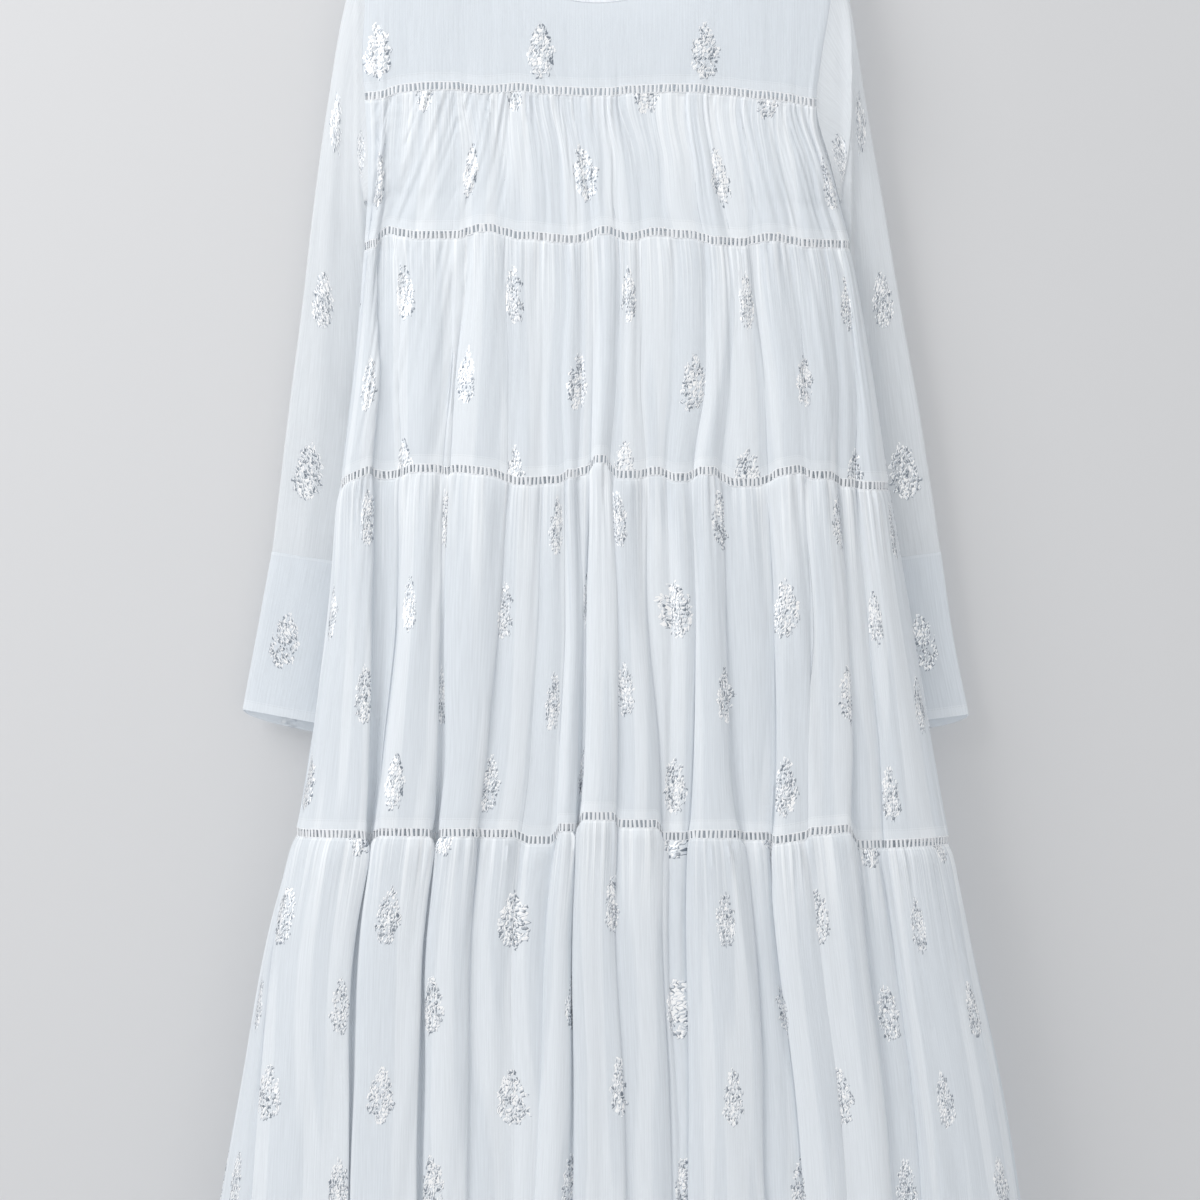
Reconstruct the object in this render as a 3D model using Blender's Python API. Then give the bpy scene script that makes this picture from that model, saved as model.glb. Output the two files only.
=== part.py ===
"""A tiered midi dress of sheer cotton, hung on a plain hanger.

The dress is a yoke and four gathered tiers, each a front and a back panel, joined by narrow ladder
trims. Two straight sleeves with deep cuffs hang behind the sides, and a bias binding finishes the neck.
The origin is where the hanger's hook bears on its rod. +Z is up and the front of the dress faces -Y.
Tables are in millimetres, which MM turns into metres.
"""

import math
from collections import namedtuple

import bmesh
import bpy
import numpy as np
from mathutils import Vector

MM = 0.001

# Cloth
WALL = 1.0  # thickness of one layer of cloth, with its gathers
BINDING_WALL = 1.4  # folded bias strip
CUFF_WALL = 1.5  # doubled cloth
GAP = 0.3  # between neighbouring pieces
TRIM_HEIGHT = 6.0

# Neck and shoulders
NECK_HALF = 100.0
NECK_HIGH_Z = -70.0
FRONT_NECK_DROP = 88.0
BACK_NECK_DROP = 36.0
BINDING_WIDTH = 8.0
SHOULDER_HALF = 186.0
SHOULDER_LOW_Z = -105.0
ROLL_HEIGHT = 12.0  # how far below the seam the cloth turns over the hanger
SEAM_HALF_GAP = 0.5  # from the middle plane to the cloth's middle at the shoulder seam

# Armholes
UNDERARM_Z = -311.0
ARMHOLE_HALF_DEPTH = 8.0
UNDERARM_TURN = 45.0  # the height over which the armhole closes at its foot
ARMHOLE_EASE = 0.7  # the sleeve's seam stands off this much more, for the bends of the two edges

# Hanger
ARM_RADIUS = 4.0
ARM_BELOW_SEAM = 6.2
ARM_HALF_LENGTH = 179.0
ARM_CROWN_Z = -54.0
ARM_CROWN_HALF = 74.0  # the crown rises inside the neck, clear of the binding
HOOK_RADIUS = 2.0
HOOK_BEND = 18.0  # from the hook's centre to the middle of its wire

# Where each ladder trim runs, and the hem, before the folds lift them
TRIM_Z = (-227.0, -341.0, -527.0, -804.0)
HEM_Z = -1248.0
LINES_Z = (*TRIM_Z, HEM_Z)

# The body's section by height: the left and right side seams, how far their plane stands from the
# hanger's, and how far the front and the back stand out from it.
Section = namedtuple("Section", "z left right middle front back")
BODY = (
    Section(-70, -186, 186, 0, 13, 10),
    Section(-105, -186, 186, 0, 15, 11),
    Section(-156, -184, 180, -1, 17, 12),
    Section(-206, -186, 172, -2, 19, 13),
    Section(-236, -183, 169, -3, 21, 14),
    Section(-285, -181, 181, -5, 24, 15),
    Section(-341, -184, 195, -8, 28, 17),
    Section(-430, -191, 211, -11, 32, 19),
    Section(-527, -202, 225, -14, 36, 21),
    Section(-665, -216, 248, -18, 42, 23),
    Section(-804, -236, 271, -22, 47, 25),
    Section(-880, -257, 287, -24, 51, 27),
    Section(-1000, -279, 312, -27, 56, 29),
    Section(-1092, -295, 326, -29, 60, 30),
    Section(-1248, -319, 344, -32, 66, 32),
)

# The folds across the front, from left to right. right is the x of a fold's right edge, out is how far
# it stands forward, and lift is how far it raises each trim; each has a figure for the four trims, and
# right and out one for the hem. points is how many columns of points the fold has.
Fold = namedtuple("Fold", "name points right out lift")
FRONT_FOLDS = (
    Fold("outer_left", 3, (-167, -174, -182, -182, -203), (1, 3, 6, 9, 14), (-3, -3, 0, 0)),
    Fold("hollow_1", 2, (-150, -156, -155, -172, -193), (0, 1, 2, 2, 1), (2, 5, 4, 1)),
    Fold("left", 3, (-112, -113, -122, -130, -136), (1, 3, 6, 10, 15), (3, 2, 5, 2)),
    Fold("inner_left", 3, (-78, -72, -72, -95, -101), (1, 3, 7, 9, 14), (1, 6, 3, 2)),
    Fold("hollow_2", 2, (-52, -44, -46, -70, -67), (0, 1, 2, 2, 4), (1, -1, -5, -1)),
    Fold("hollow_3", 2, (-26, -16, -30, -31, -56), (1, 3, 5, 2, 1), (0, -2, -2, -4)),
    Fold("narrow", 2, (-12, -6, -13, -14, -22), (0, 1, 3, 6, 11), (0, 0, 2, 6)),
    Fold("centre", 3, (5, 14, 9, 12, 22), (1, 4, 8, 11, 16), (-1, 5, 11, 14)),
    Fold("inner_right", 3, (31, 31, 32, 43, 53), (1, 3, 5, 8, 11), (-1, -1, 0, 8)),
    Fold("hollow_4", 2, (53, 53, 53, 69, 60), (1, 3, 4, 2, 1), (1, 4, 3, -1)),
    Fold("right", 3, (78, 81, 95, 106, 136), (1, 3, 5, 9, 15), (1, 2, 0, 1)),
    Fold("hollow_5", 2, (113, 119, 132, 133, 160), (1, 2, 2, 3, 3), (0, -4, -5, -1)),
    Fold("far_right", 3, (150, 176, 186, 190, 228), (1, 4, 6, 10, 16), (-3, -2, 3, 1)),
    Fold("hollow_6", 2, (160, 186, 203, 220, 254), (0, 1, 3, 2, 2), (-7, -4, -3, -7)),
    Fold("outer_right", 3, (None,) * 5, (0, 2, 5, 9, 15), (-9, -5, -7, -7)),
)

# The folds across the back, from left to right as seen from the front. share is a fold's part of the
# width, the same all the way down, and growth is its depth at the hem.
BackFold = namedtuple("BackFold", "share growth lift")
BACK_FOLDS = (
    BackFold(1.0, 9, -3),
    BackFold(0.8, 5, 2),
    BackFold(1.3, 12, 4),
    BackFold(0.7, 4, -2),
    BackFold(1.1, 11, 3),
    BackFold(0.9, 8, -1),
    BackFold(0.6, 4, -4),
    BackFold(1.4, 13, 5),
    BackFold(0.8, 6, 0),
    BackFold(1.2, 12, 3),
    BackFold(0.7, 4, -3),
    BackFold(1.0, 10, -6),
)
BACK_DEPTHS = (0.1, 0.25, 0.45, 0.65, 1.0)  # of growth, at the four trims and the hem

# How far the side seams lift each trim
SIDE_LIFTS = {"left": (-4, -4, -5, 0), "right": (-9, -5, -8, -6)}

# How far down its height each panel's rows of points lie
YOKE_ROWS = (0.0, 5.0, 14.0)  # from the top edge, in millimetres, then in shares of what is left
YOKE_SHARES = (0.5, 1.0)
TIER_ROWS = (
    (0.0, 0.4, 0.75, 1.0),
    (0.0, 0.5, 1.0),
    (0.0, 0.35, 0.7, 1.0),
    (0.0, 0.2, 0.6, 1.0),
)
TIER_NAMES = ("tier_2", "tier_3", "tier_4", "tier_5")

# A sleeve's flat sections from the armhole down: the two edges, and how far the flat tube lies behind
# the hanger at each. back_drop is how far the back layer hangs below the front one.
Cut = namedtuple("Cut", "outer_x outer_z inner_x inner_z outer_y inner_y half_depth back_drop")
SLEEVES = {
    "left": (
        Cut(-200, -156, -185, -312, 1, -2, 7.5, 0),
        Cut(-214, -234, -177, -330, 5, 6, 8, 0),
        Cut(-225, -312, -166, -372, 8, 15, 7.5, 0),
        Cut(-234, -390, -150, -425, 9, 18, 7, 0),
        Cut(-244, -468, -137, -491, 9, 19, 6.5, 0),
        Cut(-258, -586, -148, -603, 9, 18, 6, 0),
    ),
    "right": (
        Cut(196, -156, 189, -312, 1, -2, 7.5, 0),
        Cut(209, -234, 181, -330, 5, 6, 8, 0),
        Cut(223, -312, 172, -372, 8, 15, 7.5, 0),
        Cut(236, -390, 161, -425, 9, 18, 7, 0),
        Cut(250, -468, 147, -491, 9, 19, 6.5, 0),
        Cut(268, -586, 157, -602, 9, 18, 6, 0),
    ),
}
CUFFS = {
    "left": (
        Cut(-270, -651, -160, -670, 9, 17, 6, 2),
        Cut(-281, -710, -173, -730, 9, 16, 7, 8),
    ),
    "right": (
        Cut(278, -655, 168, -672, 9, 17, 6, 2),
        Cut(290, -714, 181, -728, 9, 16, 7, 8),
    ),
}
SLEEVE_POINTS = 14
CUFF_DROP = 0.5  # from the sleeve's end down to the cuff, whose wall is thicker

SIDES = {"left": -1, "right": 1}

Finish = namedtuple("Finish", "colour roughness metallic")
FINISHES = {
    "voile": Finish((0.86, 0.88, 0.91), 0.85, 0.0),
    "ladder_trim": Finish((0.80, 0.81, 0.83), 0.80, 0.0),
    "hanger_wood": Finish((0.62, 0.47, 0.32), 0.50, 0.0),
    "steel": Finish((0.55, 0.56, 0.58), 0.30, 1.0),
}

# A column of points down a panel: the fold it is in and its share of that fold's width
Column = namedtuple("Column", "fold share")


def clear_scene():
    """Removes every object that a new file starts with."""
    for thing in list(bpy.data.objects):
        bpy.data.objects.remove(thing, do_unlink=True)


def material(name):
    """The material of that finish."""
    found = bpy.data.materials.get(name)
    if found:
        return found
    finish = FINISHES[name]
    made = bpy.data.materials.new(name)
    made.use_nodes = True
    shader = made.node_tree.nodes["Principled BSDF"]
    shader.inputs["Base Color"].default_value = (*finish.colour, 1.0)
    shader.inputs["Roughness"].default_value = finish.roughness
    shader.inputs["Metallic"].default_value = finish.metallic
    return made


def add_object(name, data, finish):
    """Puts a mesh or a curve in the scene with its finish."""
    thing = bpy.data.objects.new(name, data)
    data.materials.append(material(finish))
    bpy.context.scene.collection.objects.link(thing)
    return thing


def body_at(z):
    """The body's section at a height, read between the rows of BODY."""
    heights = [-row.z for row in BODY]
    return Section(z, *(np.interp(-z, heights, [row[i] for row in BODY]) for i in range(1, 6)))


def turn(share):
    """How far round a quarter circle the cloth has turned, from 0 to 1."""
    return math.sqrt(1 - (1 - min(max(share, 0.0), 1.0)) ** 2)


def armhole_depth(z):
    """How far each panel's edge stands from the side seam's plane, down to the underarm."""
    return ARMHOLE_HALF_DEPTH * turn((z - UNDERARM_Z) / UNDERARM_TURN)


def lens(across):
    """How full the section is at a place across it, from -1 to 1 at the side seams."""
    return math.sqrt(max(0.0, 1 - abs(across) ** 2.4))


def front_edges(line):
    """The x of every fold's edges at a trim or the hem, with the side seams at both ends."""
    section = body_at(LINES_Z[line])
    return [section.left, *(fold.right[line] for fold in FRONT_FOLDS[:-1]), section.right]


def back_edges(line):
    """The same for the back, from each fold's share of the width."""
    section = body_at(LINES_Z[line])
    shares = np.cumsum([0, *(fold.share for fold in BACK_FOLDS)])
    return [section.left + (section.right - section.left) * share / shares[-1] for share in shares]


class Face:
    """The front or the back of the dress: its columns of points and where they lie."""

    def __init__(self, name):
        self.name = name
        self.sign = -1 if name == "front" else 1
        front = name == "front"
        self.folds = FRONT_FOLDS if front else BACK_FOLDS
        edges = front_edges if front else back_edges
        self.columns = [
            Column(index, share / self.points(fold))
            for index, fold in enumerate(self.folds)
            for share in range(self.points(fold))
        ]
        self.columns.append(Column(len(self.folds) - 1, 1.0))
        self.shares = [self.line_shares(edges(line), line) for line in range(len(LINES_Z))]

    @staticmethod
    def points(fold):
        """How many columns a fold has. A back fold always has three."""
        return getattr(fold, "points", 3)

    def line_shares(self, edges, line):
        """Each column's share of the width at a trim or the hem."""
        section = body_at(LINES_Z[line])
        places = [
            edges[c.fold] + (edges[c.fold + 1] - edges[c.fold]) * c.share for c in self.columns
        ]
        return [(x - section.left) / (section.right - section.left) for x in places]

    def out(self, column, line):
        """How far the fold stands out at this column. Its edges stand at the section itself."""
        fold = self.folds[column.fold]
        ridge = math.sin(math.pi * column.share) ** 0.5 if 0 < column.share < 1 else 0.0
        if self.name == "front":
            return fold.out[line] * ridge
        return fold.growth * BACK_DEPTHS[line] * ridge

    def fold_lift(self, index, line):
        """How far one fold lifts a trim."""
        fold = self.folds[index]
        return fold.lift[line] if self.name == "front" else fold.lift

    def lift(self, column, line):
        """How far the trim rises at this column. At a fold's edge it is between its two neighbours."""
        if line == len(TRIM_Z):
            return 0.0
        if column is self.columns[0]:
            return SIDE_LIFTS["left"][line]
        if column is self.columns[-1]:
            return SIDE_LIFTS["right"][line]
        own = self.fold_lift(column.fold, line)
        if column.share > 0:
            return own
        return (own + self.fold_lift(column.fold - 1, line)) / 2

    def point(self, index, share, out, base_z, z):
        """The middle of the cloth at a share of the section's width at base_z, set at height z."""
        section = body_at(base_z)
        across = 2 * share - 1
        edge = armhole_depth(base_z)
        depth = section.front if self.name == "front" else section.back
        seam = GAP / 2 if index in (0, len(self.columns) - 1) else 0.0
        stand = edge + (depth - edge) * lens(across) + seam
        x = section.left + (section.right - section.left) * share
        return Vector((x, section.middle + self.sign * (stand + out), z))

    def tier_row(self, tier, share):
        """A row of points across a tier, at a share of its height below its upper trim."""
        base_z = LINES_Z[tier] + (LINES_Z[tier + 1] - LINES_Z[tier]) * share
        row = []
        for index, column in enumerate(self.columns):
            top = LINES_Z[tier] + self.lift(column, tier) - TRIM_HEIGHT / 2 - GAP
            foot = LINES_Z[tier + 1] + self.lift(column, tier + 1)
            if tier + 1 < len(TRIM_Z):
                foot += TRIM_HEIGHT / 2 + GAP
            upper, lower = self.shares[tier][index], self.shares[tier + 1][index]
            out = self.out(column, tier) * (1 - share) + self.out(column, tier + 1) * share
            across = upper + (lower - upper) * share
            row.append(self.point(index, across, out, base_z, top + (foot - top) * share))
        return row

    def trim_row(self, line, rise):
        """A row of points along a trim, at a height above its middle."""
        return [
            self.point(
                index,
                self.shares[line][index],
                self.out(column, line),
                LINES_Z[line],
                LINES_Z[line] + self.lift(column, line) + rise,
            )
            for index, column in enumerate(self.columns)
        ]

    def neck_columns(self):
        """The first and last columns of the neck, which stand nearest to its width at the first trim."""
        section = body_at(LINES_Z[0])
        xs = [section.left + (section.right - section.left) * s for s in self.shares[0]]
        return tuple(
            min(range(len(xs)), key=lambda i, side=side: abs(xs[i] - side * 1.1 * NECK_HALF))
            for side in (-1, 1)
        )

    def top_edge(self, index):
        """The x and z of the yoke's top edge at a column: shoulder, neck curve, shoulder."""
        first, last = self.neck_columns()
        if first <= index <= last:
            place = 2 * (index - first) / (last - first) - 1
            angle = math.pi / 4 * (3 * place - place**3)  # closest together at the shoulders
            drop = FRONT_NECK_DROP if self.name == "front" else BACK_NECK_DROP
            return NECK_HALF * math.sin(angle), NECK_HIGH_Z - drop * math.cos(angle)
        end = 0 if index < first else len(self.columns) - 1
        near = first if index < first else last
        share = (index - near) / (end - near)
        x = NECK_HALF + (SHOULDER_HALF - NECK_HALF) * share
        z = NECK_HIGH_Z + (SHOULDER_LOW_Z - NECK_HIGH_Z) * share
        return math.copysign(x, end - near), z

    def yoke_point(self, index, z, share):
        """The middle of the yoke's cloth at a height, from share 0 at its top edge to 1 at the trim."""
        top_x, _ = self.top_edge(index)
        top_share = (top_x + SHOULDER_HALF) / (2 * SHOULDER_HALF)
        across = top_share + (self.shares[0][index] - top_share) * share
        out = self.out(self.columns[index], 0) * share
        place = self.point(index, across, out, z, z)
        below = shoulder_line(place.x) - z
        turned = turn(below / ROLL_HEIGHT)
        middle = body_at(z).middle
        stand = abs(place.y - middle)
        place.y = middle + self.sign * (SEAM_HALF_GAP + (stand - SEAM_HALF_GAP) * turned)
        return place

    def yoke_rows(self):
        """The yoke's rows of points, from the shoulders and the neck down to the first trim."""
        rows = []
        for row in range(len(YOKE_ROWS) + len(YOKE_SHARES)):
            points = []
            for index, column in enumerate(self.columns):
                _, top = self.top_edge(index)
                foot = LINES_Z[0] + self.lift(column, 0) + TRIM_HEIGHT / 2 + GAP
                if row < len(YOKE_ROWS):
                    z = top - YOKE_ROWS[row]
                else:
                    start = top - YOKE_ROWS[-1]
                    z = start + (foot - start) * YOKE_SHARES[row - len(YOKE_ROWS)]
                points.append(self.yoke_point(index, z, (top - z) / (top - foot)))
            rows.append(points)
        rows[-1] = self.trim_row(0, TRIM_HEIGHT / 2 + GAP)
        return rows

    def neck_line(self):
        """The points of the yoke's edge round the neck, from left to right."""
        first, last = self.neck_columns()
        return [
            self.yoke_point(index, self.top_edge(index)[1], 0.0) for index in range(first, last + 1)
        ]


def shoulder_line(x):
    """The height of the shoulder seam at x, carried level across the neck."""
    past = max(0.0, abs(x) - NECK_HALF) / (SHOULDER_HALF - NECK_HALF)
    return NECK_HIGH_Z + (SHOULDER_LOW_Z - NECK_HIGH_Z) * past


def row_normals(row, sign, level):
    """Outward directions along a row, from its neighbours. level keeps them horizontal, and the ends
    point out of the side seams."""
    found = []
    for index in range(len(row)):
        along = row[min(index + 1, len(row) - 1)] - row[max(index - 1, 0)]
        if level:
            along.z = 0
        normal = Vector((-along.y, along.x, 0)).normalized() * -1
        found.append(normal if sign < 0 else -normal)
    found[0] = Vector((-1, 0, 0))
    found[-1] = Vector((1, 0, 0))
    return found


def surface_normals(rows, sign):
    """Outward directions at every point of a panel's rows, from both of its directions."""
    found = []
    for r, row in enumerate(rows):
        line = []
        for c in range(len(row)):
            along = row[min(c + 1, len(row) - 1)] - row[max(c - 1, 0)]
            down = rows[min(r + 1, len(rows) - 1)][c] - rows[max(r - 1, 0)][c]
            line.append(down.cross(along).normalized() * -sign)
        line[0] = Vector((-1, 0, 0))
        line[-1] = Vector((1, 0, 0))
        found.append(line)
    found[-1] = row_normals(rows[-1], sign, level=True)
    return found


def wall(name, rows, normals, thickness, finish, closed=False):
    """A wall of cloth: rows of points, moved out and in along their normals by half the thickness, with
    rims round its edges. closed joins each row's last point to its first, as on a tube."""
    shell = bmesh.new()
    layers = [
        [
            [shell.verts.new((p + n * side * thickness / 2) * MM) for p, n in zip(row, line)]
            for row, line in zip(rows, normals)
        ]
        for side in (1, -1)
    ]
    width = len(rows[0])
    spans = [(c, (c + 1) % width) for c in range(width if closed else width - 1)]

    def quad(a, b, c, d):
        shell.faces.new((a, b, c))
        shell.faces.new((a, c, d))

    outer, inner = layers
    for r in range(len(rows) - 1):
        for c, n in spans:
            quad(outer[r][c], outer[r + 1][c], outer[r + 1][n], outer[r][n])
            quad(inner[r][c], inner[r + 1][c], inner[r + 1][n], inner[r][n])
    for r in (0, -1):
        for c, n in spans:
            quad(outer[r][c], outer[r][n], inner[r][n], inner[r][c])
    if not closed:
        for c in (0, -1):
            for r in range(len(rows) - 1):
                quad(outer[r][c], outer[r + 1][c], inner[r + 1][c], inner[r][c])
    bmesh.ops.recalc_face_normals(shell, faces=shell.faces)
    mesh = bpy.data.meshes.new(name)
    shell.to_mesh(mesh)
    shell.free()
    mesh.shade_smooth()
    mesh.set_sharp_from_angle(angle=math.radians(50))
    return add_object(name, mesh, finish)


def build_body(face):
    """One side of the dress: its yoke, its tiers and the trims between them."""
    yoke = face.yoke_rows()
    wall(f"yoke_{face.name}", yoke, surface_normals(yoke, face.sign), WALL, "voile")
    for tier, name in enumerate(TIER_NAMES):
        rows = [face.tier_row(tier, share) for share in TIER_ROWS[tier]]
        normals = [row_normals(row, face.sign, level=True) for row in rows]
        wall(f"{name}_{face.name}", rows, normals, WALL, "voile")
    for line in range(len(TRIM_Z)):
        rows = [face.trim_row(line, rise) for rise in (TRIM_HEIGHT / 2, -TRIM_HEIGHT / 2)]
        normals = [row_normals(row, face.sign, level=True) for row in rows]
        wall(f"ladder_trim_{line + 1}_{face.name}", rows, normals, WALL, "ladder_trim")


def build_neck_binding(front, back):
    """The bias strip round the neck, which stands above the yoke's edge towards the neck's middle."""
    loop = front.neck_line()[:-1] + back.neck_line()[:0:-1]
    rounds = len(loop)
    middle = Vector((0, 0, NECK_HIGH_Z))
    for index in (0, len(front.neck_line()) - 1):
        loop[index].y = 0
    inward = []
    for index, place in enumerate(loop):
        along = loop[(index + 1) % rounds] - loop[index - 1]
        to_middle = middle - place
        to_middle.y = 0
        if abs(place.y) < SEAM_HALF_GAP:
            to_middle.z = 0
        across = to_middle - along * (to_middle.dot(along) / along.length_squared)
        inward.append(across.normalized())
    start = BINDING_WALL / 2 + GAP
    rows = [
        [place + step * away for place, step in zip(loop, inward)]
        for away in (start, start + BINDING_WIDTH)
    ]
    normals = []
    for index in range(rounds):
        along = loop[(index + 1) % rounds] - loop[index - 1]
        normals.append(along.cross(inward[index]).normalized())
    wall("neck_binding", rows, [normals, normals], BINDING_WALL, "voile", closed=True)


def flat_ring(cut):
    """The points round one flat section of a sleeve, front layer first."""
    points = []
    for k in range(SLEEVE_POINTS):
        angle = 2 * math.pi * k / SLEEVE_POINTS
        outer = (1 + math.cos(angle)) / 2
        back = max(0.0, -math.sin(angle))
        points.append(
            Vector(
                (
                    cut.inner_x + (cut.outer_x - cut.inner_x) * outer,
                    cut.inner_y + (cut.outer_y - cut.inner_y) * outer
                    - cut.half_depth * math.sin(angle),
                    cut.inner_z + (cut.outer_z - cut.inner_z) * outer - cut.back_drop * back,
                )
            )
        )
    return points


def armhole_ring(side):
    """The points of a sleeve's seam round the armhole, just outside the body's edge."""
    points = []
    half = (SHOULDER_LOW_Z - UNDERARM_Z) / 2
    for k in range(SLEEVE_POINTS):
        angle = 2 * math.pi * k / SLEEVE_POINTS
        z = SHOULDER_LOW_Z - half + half * math.cos(angle)
        section = body_at(z)
        edge = section.left if side == "left" else section.right
        depth = armhole_depth(z) * turn((SHOULDER_LOW_Z - z) / ROLL_HEIGHT)
        if math.sin(angle) < 0:
            depth = -depth
        x = edge + SIDES[side] * (WALL / 2 + GAP + ARMHOLE_EASE)
        points.append(Vector((x, section.middle - depth, z)))
    return points


def tube_normals(rings):
    """Outward directions round a sleeve's rings, from the ring and the way down the sleeve."""
    found = []
    for r, ring in enumerate(rings):
        line = []
        for k in range(len(ring)):
            along = ring[(k + 1) % len(ring)] - ring[k - 1]
            down = rings[min(r + 1, len(rings) - 1)][k] - rings[max(r - 1, 0)][k]
            normal = down.cross(along).normalized()
            middle = sum(ring, Vector()) / len(ring)
            line.append(normal if normal.dot(ring[k] - middle) > 0 else -normal)
        found.append(line)
    return found


def build_sleeve(side):
    """A sleeve from its armhole to its cuff's seam, and the cuff."""
    rings = [armhole_ring(side), *(flat_ring(cut) for cut in SLEEVES[side])]
    normals = tube_normals(rings)
    normals[0] = [Vector((0, n.y, n.z)).normalized() for n in normals[0]]
    wall(f"sleeve_{side}", rings, normals, WALL, "voile", closed=True)
    drop = Vector((0, 0, -CUFF_DROP))
    cuff = [[p + drop for p in flat_ring(cut)] for cut in (SLEEVES[side][-1], *CUFFS[side])]
    wall(f"cuff_{side}", cuff, tube_normals(cuff), CUFF_WALL, "voile", closed=True)


def wire(name, points, radius, finish, sides):
    """A round bar along a line of points, with closed ends."""
    curve = bpy.data.curves.new(name, "CURVE")
    curve.dimensions = "3D"
    curve.bevel_depth = radius * MM
    curve.bevel_resolution = sides // 4
    curve.use_fill_caps = True
    line = curve.splines.new("POLY")
    line.points.add(len(points) - 1)
    for place, spot in zip(points, line.points):
        spot.co = (*(Vector(place) * MM), 1)
    return add_object(name, curve, finish)


def arm_height(x):
    """The middle of the hanger's bar: under the shoulder seams, and rounded up to its crown."""
    seam = shoulder_line(x) - ARM_BELOW_SEAM
    inside = max(0.0, 1 - abs(x) / ARM_CROWN_HALF)
    crown = ARM_CROWN_Z - (NECK_HIGH_Z - ARM_BELOW_SEAM)
    return seam + crown * inside * inside * (3 - 2 * inside)


def build_hanger():
    """A plain bar under the shoulders and a wire hook over the rod."""
    steps = 22
    xs = [ARM_HALF_LENGTH * (2 * i / steps - 1) for i in range(steps + 1)]
    wire("hanger_bar", [(x, 0, arm_height(x)) for x in xs], ARM_RADIUS, "hanger_wood", 8)

    centre_z = HOOK_RADIUS - HOOK_BEND
    bend = [
        (HOOK_BEND * math.sin(angle), 0, centre_z + HOOK_BEND * math.cos(angle))
        for angle in np.radians(range(-110, 111, 20))
    ]
    neck = [(9, 0, centre_z - 16), (3, 0, centre_z - 21), (0, 0, centre_z - 27)]
    foot = (0, 0, ARM_CROWN_Z + ARM_RADIUS + GAP)
    wire("hanger_hook", [*bend, *neck, foot], HOOK_RADIUS, "steel", 8)


def main():
    """Builds the dress on its hanger."""
    clear_scene()
    front, back = Face("front"), Face("back")
    build_body(front)
    build_body(back)
    build_neck_binding(front, back)
    for side in SIDES:
        build_sleeve(side)
    build_hanger()


main()
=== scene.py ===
"""The looks of a sheer tiered midi dress that hangs on a plain hanger.

Each panel is cut flat as a grid of cloth and then hung: its points move to where the body's outline, the
hanging folds, the gathers and the creases put them. Lengths are in millimetres in the tables and in
metres on the pieces. The front of the dress faces -Y, and the left side is at -X.
"""

import logging
import math
from dataclasses import dataclass
from enum import Enum
from functools import cache
from typing import NamedTuple, Sequence

import bpy
import numpy as np
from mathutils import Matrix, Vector


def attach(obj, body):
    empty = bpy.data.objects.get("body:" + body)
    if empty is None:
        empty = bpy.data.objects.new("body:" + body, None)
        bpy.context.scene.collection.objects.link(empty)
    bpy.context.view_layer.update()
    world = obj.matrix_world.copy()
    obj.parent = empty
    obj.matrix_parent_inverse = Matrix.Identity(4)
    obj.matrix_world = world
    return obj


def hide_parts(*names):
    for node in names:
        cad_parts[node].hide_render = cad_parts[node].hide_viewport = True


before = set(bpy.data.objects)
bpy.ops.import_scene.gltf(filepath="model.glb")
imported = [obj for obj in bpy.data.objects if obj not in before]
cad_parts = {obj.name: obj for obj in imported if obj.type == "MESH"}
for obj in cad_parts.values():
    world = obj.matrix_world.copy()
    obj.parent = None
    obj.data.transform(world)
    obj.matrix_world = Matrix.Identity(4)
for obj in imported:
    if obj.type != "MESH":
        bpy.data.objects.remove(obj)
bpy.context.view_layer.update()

Array = np.ndarray
Piece = bpy.types.Object
Material = bpy.types.Material
Colour = tuple[float, float, float]

MM = 0.001
log = logging.getLogger("dress")

TRIM_Z = (-227.0, -341.0, -527.0, -804.0)
HEM_Z = -1248.0
LINES_Z = (*TRIM_Z, HEM_Z)
TRIM_HEIGHT = 6.8
TRIM_LAP = 0.3  # how far a panel's edge reaches under its trim
SHEER = 0.5  # thickness of one layer of cloth
NO_HEM = 20.0  # added to the heights on a flat cut whose foot isn't hemmed

NECK_HALF = 100.0
NECK_HIGH_Z = -70.0
SHOULDER_HALF = 186.0
SHOULDER_LOW_Z = -105.0
UNDERARM_Z = -311.0
UNDERARM_TURN = 45.0  # the height over which an armhole closes at its foot
ARMHOLE_HALF_DEPTH = 8.0


class Side(Enum):
    """The two sides of the dress, as seen from the front."""

    LEFT = -1
    RIGHT = 1


class Facing(Enum):
    """Which way a panel faces, as the sign of its outward Y."""

    FRONT = -1
    BACK = 1


class Section(NamedTuple):
    """The body's section at a height: its side seams, how far their plane stands from the hanger's, and
    how far the front and the back stand out from that plane."""

    z: float
    left: float
    right: float
    middle: float
    front: float
    back: float


BODY = (
    Section(-70, -186, 186, 0, 13, 10),
    Section(-105, -186, 186, 0, 15, 11),
    Section(-156, -184, 180, -1, 17, 12),
    Section(-206, -186, 172, -2, 19, 13),
    Section(-236, -183, 169, -3, 21, 14),
    Section(-285, -181, 181, -5, 24, 15),
    Section(-341, -184, 195, -8, 28, 17),
    Section(-430, -191, 211, -11, 32, 19),
    Section(-527, -202, 225, -14, 36, 21),
    Section(-665, -216, 248, -18, 42, 23),
    Section(-804, -236, 271, -22, 47, 25),
    Section(-880, -257, 287, -24, 51, 27),
    Section(-1000, -279, 312, -27, 56, 29),
    Section(-1092, -295, 326, -29, 60, 30),
    Section(-1248, -319, 344, -32, 66, 32),
)


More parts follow.
